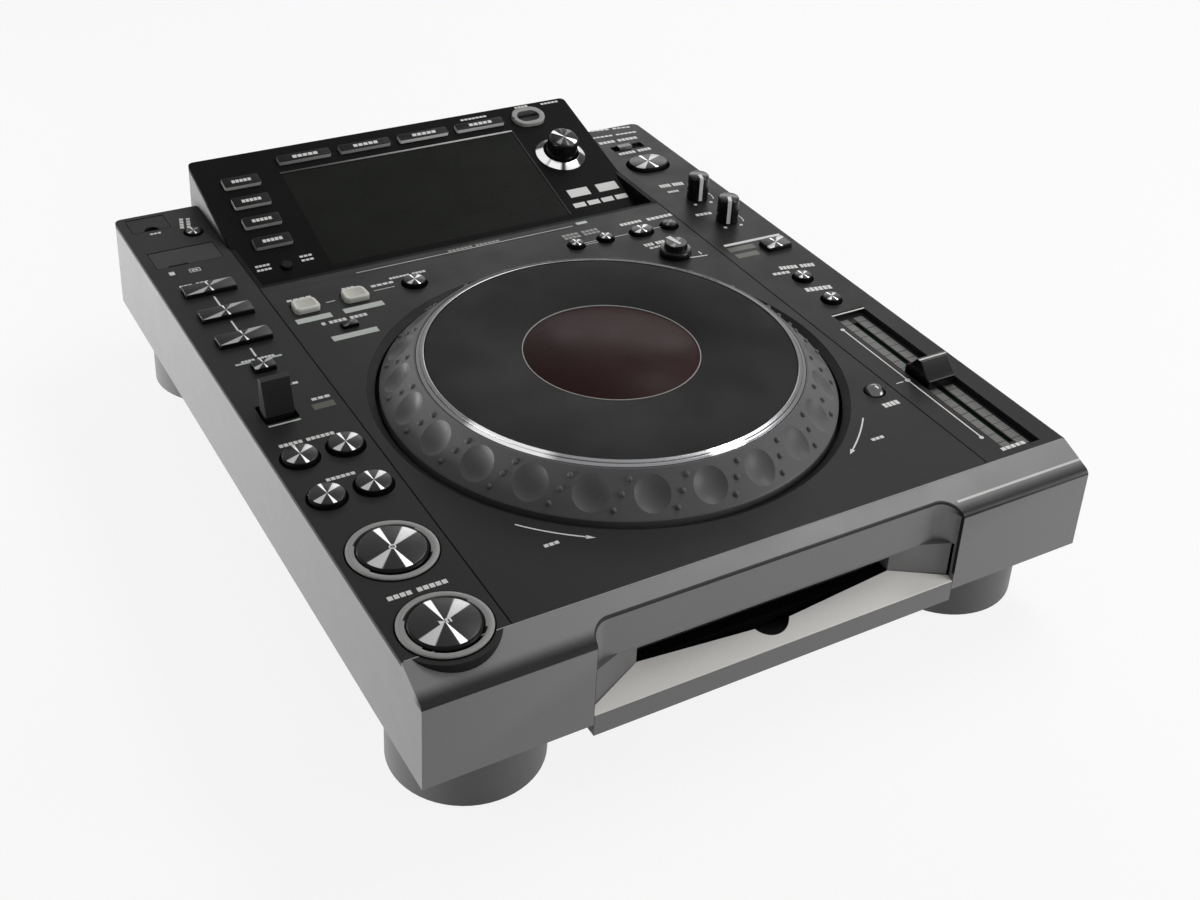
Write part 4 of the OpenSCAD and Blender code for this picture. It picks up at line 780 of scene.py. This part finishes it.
# %% Round keys
KEY_TOP = 2.4
KEY_FOOT = -2.4
ROUND_KEYS = {"track_back_button": (7.6, KEY_TOP), "track_forward_button": (7.6, KEY_TOP),
              "search_back_button": (7.6, KEY_TOP), "search_forward_button": (7.6, KEY_TOP),
              "usb_stop_button": (4.0, 1.2), "reloop_button": (5.6, KEY_TOP),
              "call_back_button": (3.9, KEY_TOP), "call_forward_button": (3.9, KEY_TOP),
              "memory_button": (4.2, KEY_TOP),
              "tempo_range_button": (4.6, KEY_TOP), "master_tempo_button": (4.6, KEY_TOP)}
for key, (r, h) in ROUND_KEYS.items():
    metal = spun_black if key == "memory_button" else spun_metal
    line = [(0, h), (r - 0.7, h), (r - 0.3, h - 0.15), (r, h - 0.5), (r, KEY_FOOT), (0, KEY_FOOT)]
    cap = turned(key + "_cap", line, at_key(key), key, [metal, key_side], 48, top=h - 0.1)
    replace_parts(cap, key)
    turned(key + "_surround", band(r + 0.3, r + 1.2, -0.4, 0.06), at_key(key), "player", [dark_well],
           48, True)
print("round keys", len(ROUND_KEYS))

# %% [markdown]
# ## Ball key
# The key that resets the tempo is a small domed ball of dark polished metal. A half round
# profile spun about its axis is smoother than a sphere cut by the panel, and keeps its skirt.

# %% Ball key
gunmetal = moulded("gunmetal", (92, 92, 93), 0.18, 0.02, 900, metal=1.0, uneven=0.03)
ball_line = [(0, 3.5), (1.2, 3.36), (2.3, 2.94), (3.3, 2.25), (4.1, 1.35), (4.6, 0.4), (4.7, 0),
             (4.7, KEY_FOOT), (0, KEY_FOOT)]
ball = turned("tempo_reset_ball", ball_line, at_key("tempo_reset_button"), "tempo_reset_button",
              [gunmetal], 48)
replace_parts(ball, "tempo_reset_button")
print("ball key made")

# %% [markdown]
# ## Bar keys
# The hot cue and mode keys are bars with the same spun look and its painted highlights, and the
# eject and delete keys are ovals in a dark surround. Each is a block with rounded uprights and top.
# A table holds their width, depth, height, corner and edge radius and finish.

# %% Bar keys of the deck
BAR_KEYS = {"hot_cue_button_1": (25.5, 9.6, KEY_TOP, 0.8, 0.4, spun_dark),
            "hot_cue_button_2": (25.5, 9.6, KEY_TOP, 0.8, 0.4, spun_dark),
            "hot_cue_button_3": (25.5, 9.6, KEY_TOP, 0.8, 0.4, spun_dark),
            "call_mode_button": (10, 8, KEY_TOP, 0.8, 0.4, spun_dark),
            "jog_mode_button": (15, 10, KEY_TOP, 0.8, 0.5, spun_dark),
            "eject_button": (23.2, 17.4, KEY_TOP, 8.4, 0.6, spun_dark),
            "delete_button": (12.4, 8.4, KEY_TOP, 4.1, 0.5, spun_metal),
            "beat_loop_button": (8, 5, 1.6, 0.8, 0.3, spun_black)}


def bar_key(key, place, width, depth, height, corner, edge, finishes):
    """A bar key with its top finish first and its side finish second."""
    bm = bmesh.new()
    bar_block(bm, width, depth, KEY_FOOT, height, corner, edge, 8 if corner > 2 else 3)
    by_height(bm, height - edge * 0.6)
    piece = finished(key + "_bar", bm, place, key, finishes)
    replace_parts(piece, key)


for key, (*sizes, finish) in BAR_KEYS.items():
    bar_key(key, at_key(key), *sizes, [finish, key_side])
print("bar keys", len(BAR_KEYS))

# %% [markdown]
# ## Surrounds of the oval keys
# A dark line runs round each oval key where it sinks into the deck. It could be printed, but a
# thin ring catches light on its edge. Two blocks, one inside the other, give its two walls, and
# bridging their rims gives its top and bottom.

# %% Dark surrounds
SURROUNDS = {"eject_button": (23.9, 18.1, 8.7, 1.3), "delete_button": (13, 9, 4.4, 0.8)}


def oval_ring(bm, width, depth, corner, rim, low, high):
    """A flat ring around a bar key: two walls, bridged at their tops and bottoms."""
    for grow in (0.0, rim):
        bar_block(bm, width + 2 * grow, depth + 2 * grow, low, high, corner + grow, 0, 8)
    bm.normal_update()
    caps = [face for face in bm.faces if abs(face.normal.z) > 0.9]
    loops = [[edge for face in caps if (face.normal.z > 0) == upper for edge in face.edges]
             for upper in (False, True)]
    bmesh.ops.delete(bm, geom=caps, context="FACES_ONLY")
    for edges in loops:
        bmesh.ops.bridge_loops(bm, edges=edges)


for key, sizes in SURROUNDS.items():
    bm = bmesh.new()
    oval_ring(bm, *sizes, -0.4, 0.07)
    finished(key + "_surround", bm, at_key(key), "player", [dark_well])
print("surrounds", len(SURROUNDS))

# %% [markdown]
# ## Loop keys
# The two loop keys are pale caps, wider towards the front, with a hollow top. The block is inset
# and its middle is pushed down, and then its rear is drawn in.

# %% Loop keys


def step_in(bm, width, drop, index):
    """Insets the flat top by a width, drops it, and gives what lies inside another finish; in mm."""
    bm.normal_update()
    top = max(bm.faces, key=lambda face: face.calc_center_median().z * 1e6 + face.calc_area())
    bmesh.ops.inset_region(bm, faces=[top], thickness=width * MM, depth=-drop * MM, use_even_offset=True)
    top.material_index = index


LOOP_W, LOOP_D, NARROWING = 13.2, 11, 0.05
for key in ("loop_in_button", "loop_out_button"):
    bm = bmesh.new()
    bar_block(bm, LOOP_W, LOOP_D, KEY_FOOT, 2.6, 3.0, 1.0, 8)
    step_in(bm, 0.8, 0.25, 1)
    for vert in bm.verts:
        vert.co.x *= 1 - NARROWING * (1 + vert.co.y / (LOOP_D / 2 * MM))
    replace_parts(finished(key + "_cap", bm, at_key(key), key, [key_rim, key_cream]), key)
print("loop keys made")

# %% [markdown]
# ## Keys of the tilted panel
# Four keys choose the source and four the menu. They are flat bars with a light side that
# catches the eye from the front. The sides of the two right menu keys are painted lighter, as a
# painted highlight. The back key above the selector is an oval whose dark middle
# is stepped in, with a raised island in it.

# %% Keys of the tilted panel
TILT_TOP = 2.1
SOURCE_X, SOURCE_Y, SOURCE_STEP = -93.2, 48.6, -16.25
MENU_X, MENU_Y, MENU_STEP = -53.6, 60.0, 35.75
# The two right menu keys get the lighter side finish, a painted highlight.
for i in range(4):
    bar_key(f"source_key_{i + 1}", on_tilt(SOURCE_X, SOURCE_Y + SOURCE_STEP * i),
            20, 7.6, TILT_TOP, 0.8, 0.4, [key_dark, key_pale])
    bar_key(f"menu_key_{i + 1}", on_tilt(MENU_X + MENU_STEP * i, MENU_Y),
            30, 5.7, TILT_TOP, 0.8, 0.4, [key_dark, key_pale if i < 2 else key_pale_highlight])
BACK = on_tilt(85.6, 59.7)
bm = bmesh.new()
bar_block(bm, 20.2, 15.6, KEY_FOOT, TILT_TOP, 7.8, 0.5, 10)
step_in(bm, 2.6, 0.5, 1)
step_in(bm, 0.9, -0.2, 1)
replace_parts(finished("back_button_cap", bm, BACK, "back_button", [key_pale, key_dark]), "back_button")
cap = turned("time_mode_cap", [(0, 2), (2.3, 2), (2.8, 1.5), (2.8, KEY_FOOT), (0, KEY_FOOT)],
             on_tilt(-92.4, -19.2), "time_mode_button", [key_dark], 40)
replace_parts(cap, "time_mode_button")
dress("display_screen", screen_glass)
print("tilted panel dressed")

# %% [markdown]
# ## Tall knobs
# The two tall knobs are glossy, with a white line down the side and over the top. The line is
# two flat bars that stand a little proud, and they turn with the knob.

# %% Tall knobs
tall_line = [(0, 14.8), (4.3, 14.8), (5.2, 14.55), (5.7, 13.9), (5.8, 13.0), (6.0, 1.2), (6.0, 0.4),
             (0, 0.4)]
for key, turn in (("touch_brake_knob", -106), ("release_start_knob", -117)):
    knob = turned(key + "_body", tall_line, at_key(key), key, [knob_gloss], 64)
    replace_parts(knob, key)
    bm = bmesh.new()
    block(bm, (3.2, 0, 14.85), (4.6, 2.0, 0.2))
    block(bm, (5.75, 0, 7.8), (0.5, 2.0, 13.9))
    finished(key + "_line", bm, at_key(key, turn), key, [white_ink])
print("tall knobs made")

# %% [markdown]
# ## Jog adjust knob and selector
# The jog adjust knob has a wide skirt under a small cap with a white wedge as its pointer, and
# the cap carries a painted highlight. The selector is a glossy drum with a turned top whose bright
# shards are painted highlights, and stands in a chrome dish. The dish mirrors the room in a few
# bright arcs. They are painted reflections in its finish, so they stay in any light.

# %% Jog adjust knob and selector
adjust_line = [(0, 7.2), (5.6, 7.2), (5.95, 6.9), (6.3, 4.1), (7.9, 3.9), (8.3, 3.4), (8.6, 0.8),
               (8.4, 0.4), (0, 0.4)]
knob = turned("jog_adjust_body", adjust_line, at_key("jog_adjust_knob"), "jog_adjust_knob",
              [spun_black, knob_gloss], 64, top=7.0)
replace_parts(knob, "jog_adjust_knob")
bm = bmesh.new()
block(bm, (1.7, 0, 7.275), (9.6, 2.4, 0.25))
for vert in bm.verts:
    vert.co.y *= 1.3 if vert.co.x > 0 else 0.7
finished("jog_adjust_pointer", bm, at_key("jog_adjust_knob", 100), "jog_adjust_knob", [white_ink])

SELECTOR = on_tilt(89, 23.6)
turned("selector_dish", [(10.35, 0.1), (10.35, 2.7), (10.5, 2.9), (11.0, 2.9), (14.5, 0.6), (14.5, 0.05)],
       SELECTOR, "player", [chrome_painted_arcs], 96, True)
drum_line = [(0, 13.5), (6.6, 13.5), (7.7, 13.2), (8.4, 12.3), (8.8, 10.2), (9.2, 1.0), (9.2, 0.4),
             (0, 0.4)]
knob = turned("selector_body", drum_line, SELECTOR, "rotary_selector", [spun_shards, knob_gloss],
              64, top=13.0)
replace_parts(knob, "rotary_selector")
print("knobs made")

# %% [markdown]
# ## Lever, slider and lock
# The direction lever is a wedge-shaped paddle, the tempo slider a cap with a ridge and a white
# line, and the lock a small slide switch. Their solids have the right shape, so they are
# softened instead of drawn again.

# %% Lever, slider and lock
lever_plastic = moulded("lever_plastic", (28, 28, 28), 0.4, 0.08, 2600, shine=0.12)
softened("direction_lever", 0.5, [lever_plastic], "direction_lever")
softened("tempo_slider", 0.6, [knob_gloss], "tempo_slider", segments=3)
softened("eject_lock_switch", 0.2, [knob_gloss], "eject_lock_switch")
low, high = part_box("tempo_slider")
SLIDE = ((low[0] + high[0]) / 2 / MM, (low[1] + high[1]) / 2 / MM)
bm = bmesh.new()
block(bm, (0, 0, 9.61), (16.0, 0.9, 0.22))
finished("slider_line", bm, on_deck(*SLIDE), "tempo_slider", [white_ink])
print("slider at", SLIDE)

# %% [markdown]
# ## Scales of the slider
# The slider's recess carries two printed scales, one on each side of its slit. Hundreds of small
# lines would be slow to model and are flat anyway, so two sine waves along the recess draw them:
# a close one for the fine lines and a wide one for the bold ones.

# %% Slider scales
FINE_STEP, BOLD_STEP = 0.0013, 0.0062
scale_print = moulded("scale_print", (110, 110, 108), 0.5, 0.05, 3000, shine=0.2)
tree, (across, along, up) = parts_of(scale_print)
fine = math_node(tree, "SINE", math_node(tree, "MULTIPLY", along, 2 * math.pi / FINE_STEP))
bold = math_node(tree, "SINE", math_node(tree, "MULTIPLY", along, 2 * math.pi / BOLD_STEP))
lines = largest(tree, ramp(tree, fine, 0.1, 0.6, 0, 0.55), ramp(tree, bold, 0.93, 0.97))
tree.links.new(mixed(tree, lines, tone(122, 122, 120), tone(58, 58, 58)),
               tree.nodes["Principled BSDF"].inputs["Base Color"])
for name, side in (("slider_scale_left", -1), ("slider_scale_right", 1)):
    bm = bmesh.new()
    block(bm, (0, 0, -2.95), (5.4, 122, 0.1))
    finished(name, bm, on_deck(SLIDE[0] + side * 4.6, SLIDE[1]), "player", [scale_print])
print("scales made")

# %% [markdown]
# ## Printed marks
# Labels and lines are screen-printed in white. Each mark is a flat block a twentieth of a
# millimetre proud of the panel, so it keeps its place and its edges at any zoom. A label is a
# row of short bars instead of words, because the part names nothing.

# %% Marks


def mark(bm, x, y, width, depth, turn=0.0, thick=0.06):
    """A flat printed block."""
    block(bm, (x, y, thick / 2), (width, depth, thick), turn)


def label(bm, x, y, width, depth, words, turn=0.0):
    """A row of short bars, grouped like words, centred on a point."""
    letters = sum(words) + (len(words) - 1) * 0.7
    step = width / letters
    at = -width / 2
    for count in words:
        for _ in range(count):
            shift = Matrix.Rotation(math.radians(turn), 2) @ Vector((at + step / 2, 0))
            mark(bm, x + shift.x, y + shift.y, step * 0.8, depth, turn)
            at += step
        at += step * 0.7


def outline(bm, x, y, width, depth, thick=0.4):
    """A printed frame."""
    for side in (-1, 1):
        mark(bm, x + side * width / 2, y, thick, depth + thick)
        mark(bm, x, y + side * depth / 2, width, thick)


def dot(bm, x, y, r):
    """A round printed mark."""
    disc(bm, Matrix.Translation((x * MM, y * MM, 0.04 * MM)), r, 0.08, 20)


def printed(name, place, finish, labels=(), marks=(), frames=(), dots=()):
    """Prints rows of labels, marks, frames and dots on a panel as one piece."""
    bm = bmesh.new()
    for draw, rows in ((label, labels), (mark, marks), (outline, frames), (dot, dots)):
        for row in rows:
            draw(bm, *row)
    made = finished(name, bm, place, "player", [finish])
    print(name, len(made.data.polygons))


# %% [markdown]
# ## Marks of the three panels
# The marks of a panel are one piece, because they are one print. A label's row holds its place,
# width, depth, letters of each word and turn, and a mark's row its place, width, depth and turn.

# %% Marks of the left panel
PRINT = on_deck(0, 0)
LEFT = -137.75
printed("left_marks", PRINT, white_ink,
        labels=((LEFT - 5, 107.4, 15, 2.0, (3, 3)), (LEFT, 28.8, 16, 1.5, (4, 5)),
                (-149.3, 122.2, 3.4, 3.4, (1,)), (-137.9, 121.4, 3.4, 1.2, (2,)),
                (-144.3, 167.2, 6, 1.6, (3,)),
                (-128.9, 172.625, 12, 2.0, (4,), 76), (-125.5, 171.775, 12, 2.0, (4,), 76),
                (LEFT + 6.5, 2.5, 6.5, 1.7, (2,)), (LEFT + 14, -13.6, 9, 2.0, (3,)),
                (LEFT - 3, -41.5, 25, 2.2, (5, 6)), (LEFT, -72.3, 13, 2.0, (6,)),
                (LEFT - 1, -151.8, 25, 2.4, (4, 5))),
        marks=((LEFT, 60.65, 0.9, 11.0), (LEFT, 86.25, 0.9, 11.0), (LEFT, 35.0, 0.9, 8.0)),
        frames=((-137.9, 121.4, 5.2, 3.2),))

# %% Marks of the centre panel
printed("centre_marks", PRINT, white_ink,
        labels=((-101.6, 72.4, 13, 1.9, (4,)), (-76, 72.4, 7, 1.9, (3,)), (-44, 72.6, 20, 1.8, (6, 4)),
                (-59.2, 69.0, 12.5, 2.0, (4,)), (-88.8, 45.2, 23.5, 2.5, (1, 4, 4)),
                (89, 75.2, 13.6, 2.6, (6,)), (107, 74.8, 16, 2.8, (6,)), (88.6, 49.4, 13, 3.0, (3, 3)),
                (88.6, 45.6, 11, 1.7, (4,)), (106.4, -129.2, 9, 3.2, (4,)),
                (-80.5, -150.0, 7, 1.8, (3,)), (83.5, -148.5, 7, 1.8, (3,))),
        marks=((-88.6, 63.6, 4.4, 0.5), (-60, 64.5, 11, 0.4), (-4, 85.0, 125, 0.4), (58.2, 65.2, 8.6, 0.35),
               (58.2, 63.4, 8.6, 0.35), (77.1, 64.7, 8, 0.4), (99.6, 64.6, 5.2, 0.4),
               (102.4, 27.3, 9.9, 0.7, -8), (105.2, 30.4, 0.7, 3.0)))
printed("centre_grey_marks", PRINT, grey_ink,
        labels=((58, 76.6, 22, 2.2, (4, 4)), (58, 73.6, 22, 2.2, (4, 4)), (0, 86.6, 30, 1.7, (6, 6))))

# %% Marks of the right panel
knob_dots, knob_ticks = [], []
for knob in ("touch_brake_knob", "release_start_knob"):
    spot = at_key(knob).translation / MM
    for degrees in (-128, -62):
        angle = math.radians(degrees)
        knob_dots.append((spot.x + 9.0 * math.cos(angle), spot.y + 9.0 * math.sin(angle), 1.0))
    for degrees in (-24, -8, 8, 24):
        angle = math.radians(degrees)
        knob_ticks.append((spot.x + 9.2 * math.cos(angle), spot.y + 9.2 * math.sin(angle),
                           0.7, 2.0, degrees))
printed("right_marks", PRINT, white_ink,
        labels=((141.4, 188.1, 26, 1.8, (4, 4), -8), (139, 179.5, 30, 1.8, (5, 5), -4),
                (137.2, 171.6, 26, 3.0, (4, 5), -2), (138.5, 154.2, 22, 3.0, (5, 4)),
                (134.5, 106.4, 15, 3.6, (4, 4), -6), (131, 98.8, 7, 2.2, (4,), -4),
                (131.5, 67.7, 10, 2.6, (4,), -6), (143.7, -3.6, 20, 3.2, (5, 4), -12),
                (131.9, -6.3, 10, 2.4, (4,), -8), (140.1, -27.6, 15, 3.6, (6,), -10),
                (134.7, -179.7, 14, 2.2, (5,))),
        marks=[(138.7, 30.7, 35.3, 2.1, -2), (139.3, -53.6, 20, 0.9), (126.4, -117.5, 0.7, 103),
               (121.5, -116.8, 4.0, 0.5)] + knob_ticks,
        dots=[(126.2, -66.5, 1.1), (126.2, -116.8, 1.4), (126.2, -168.5, 1.1)] + knob_dots)

# %% [markdown]
# ## Arcs beside the wheel
# Two thin arcs with arrowheads show which way the wheel searches. They follow the wheel, so each
# is a short profile spun part of the way about the wheel's axis.

# %% Arcs beside the wheel
ARC_R = 116.2
bm = bmesh.new()
for start, sweep, tip, turn in ((220.9, 14.6, 236.0, 0), (305.7, 13.2, 305.2, 180)):
    spin_profile(bm, closed(band(115.8, 116.5, 0, 0.06)), 16, start, sweep)
    spot = Matrix.Rotation(math.radians(tip), 4, "Z") @ Matrix.Translation((ARC_R * MM, 0, 0.03 * MM))
    arrow = Matrix.Rotation(math.radians(turn), 4, "Z") @ Matrix.Diagonal((0.8, 1.6, 1, 1))
    disc(bm, spot @ arrow, 1.6, 0.06, 3)
bmesh.ops.holes_fill(bm, edges=[e for e in bm.edges if e.is_boundary], sides=4)
finished("turn_arcs", bm, on_deck(0, JOG_Y), "player", [white_ink])
print("arcs made")

# %% [markdown]
# ## Bars, lamp windows and seams
# Under the loop keys lie pale bars that carry a second name, and small windows show lamps that
# are off. Dark lines mark the seams between the panels, and a light one the edge to the slope.

# %% Pale bars, lamp windows and seams
bright_print = moulded("bright_print", (196, 201, 196), 0.4, 0.05, 3000, shine=0.15, uneven=0.03)
bed_grey = moulded("bed_grey", (50, 50, 50), 0.42, 0.10, 2600, shine=0.05)
SEAM_X = 115.5
mode_y = at_key("call_mode_button").translation.y / MM
printed("pale_bars", PRINT, bright_print,
        marks=((-101.6, 51.9, 17.8, 4.4), (-76, 52, 20.6, 4.4), (-89.2, 30.3, 23, 4.4),
               (LEFT - 7, -25.6, 14.5, 1.0), (LEFT, mode_y + 6.6, 22, 1.4), (64.5, 86.3, 6.5, 2.4)))
printed("lamp_windows", PRINT, lamp_window,
        marks=((-124.5, -19.6, 10.2, 4.6), (128.4, 25.6, 16, 4.4, -3), (127.3, 18.2, 13.4, 4.4, -3)))
printed("needle_bed", PRINT, bed_grey, marks=((-22, 86.5, 168, 6.0, 0, 0.04),))
printed("seam_lines", PRINT, dark_well, marks=[(side * SEAM_X, -47.5, 0.5, 273) for side in (-1, 1)])
printed("lip_line", PRINT, grey_ink, marks=((0, -185.1, 318, 0.5),))

# %% [markdown]
# ## Marks of the tilted panel
# The tiles under the selector and the labels beside the small keys lie on the tilted plane. The
# labels on the keys themselves ride on the keys, so that they sink with them.

# %% Marks of the tilted panel
printed("tilted_marks", on_tilt(0, 0), white_ink,
        labels=((-80.5, -14.6, 7, 1.4, (3,)), (-80.5, -17.6, 7, 1.4, (3,)), (-104, -15.4, 8, 1.4, (4,)),
                (-104, -18.4, 8, 1.4, (4,)), (53.6, 67.6, 17, 1.4, (7,)), (86, 70.2, 9, 1.4, (4,)),
                (104.7, 69.5, 12, 1.4, (5,))),
        marks=((84, -9.5, 13, 6.5), (102.5, -9.5, 13, 6.5), (79.5, -19.5, 7.4, 3.6),
               (88.5, -19.5, 7.4, 3.6), (97.5, -19.5, 7.4, 3.6), (106.5, -19.5, 7.4, 3.6)))
for i in range(4):
    for key, x, y, width in ((f"menu_key_{i + 1}", MENU_X + 0.6 + MENU_STEP * i, MENU_Y, 15),
                             (f"source_key_{i + 1}", SOURCE_X, SOURCE_Y + SOURCE_STEP * i, 11)):
        bm = bmesh.new()
        label(bm, 0, 0, width, 2.2, (5,))
        finished(key + "_label", bm, on_tilt(x, y, TILT_TOP), key, [white_ink])

# %% [markdown]
# ## Bright edges of the screen
# The rear edge of the screen's recess catches the light, more so to the right, and the right
# edge shows as a thin grey line. A thin strip on each edge carries that line.

# %% Edges of the screen
edge_light = moulded("edge_light", (60, 60, 60), 0.3, 0.04, 3000, shine=0.2)
tree, (across, along, up) = parts_of(edge_light)
painted_over(edge_light, ramp(tree, across, -0.070, 0.070), (206, 206, 206))
printed("screen_edge_top", on_tilt(0, 0), edge_light, marks=((0, 50.7, 141.2, 1.1, 0, 0.3),))
printed("screen_edge_side", on_tilt(0, 0), door_grey, marks=((70.6, 12.6, 0.7, 76, 0, 0.25),))

# %% [markdown]
# ## Sizes
# The box of the solids and the box of the dressed player are printed side by side.

# %% Sizes
dressed_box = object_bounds()
sizes = {"cad": [[float(c) for c in corner] for corner in cad_box],
         "dressed": [[float(c) for c in corner] for corner in dressed_box]}
print(sizes)
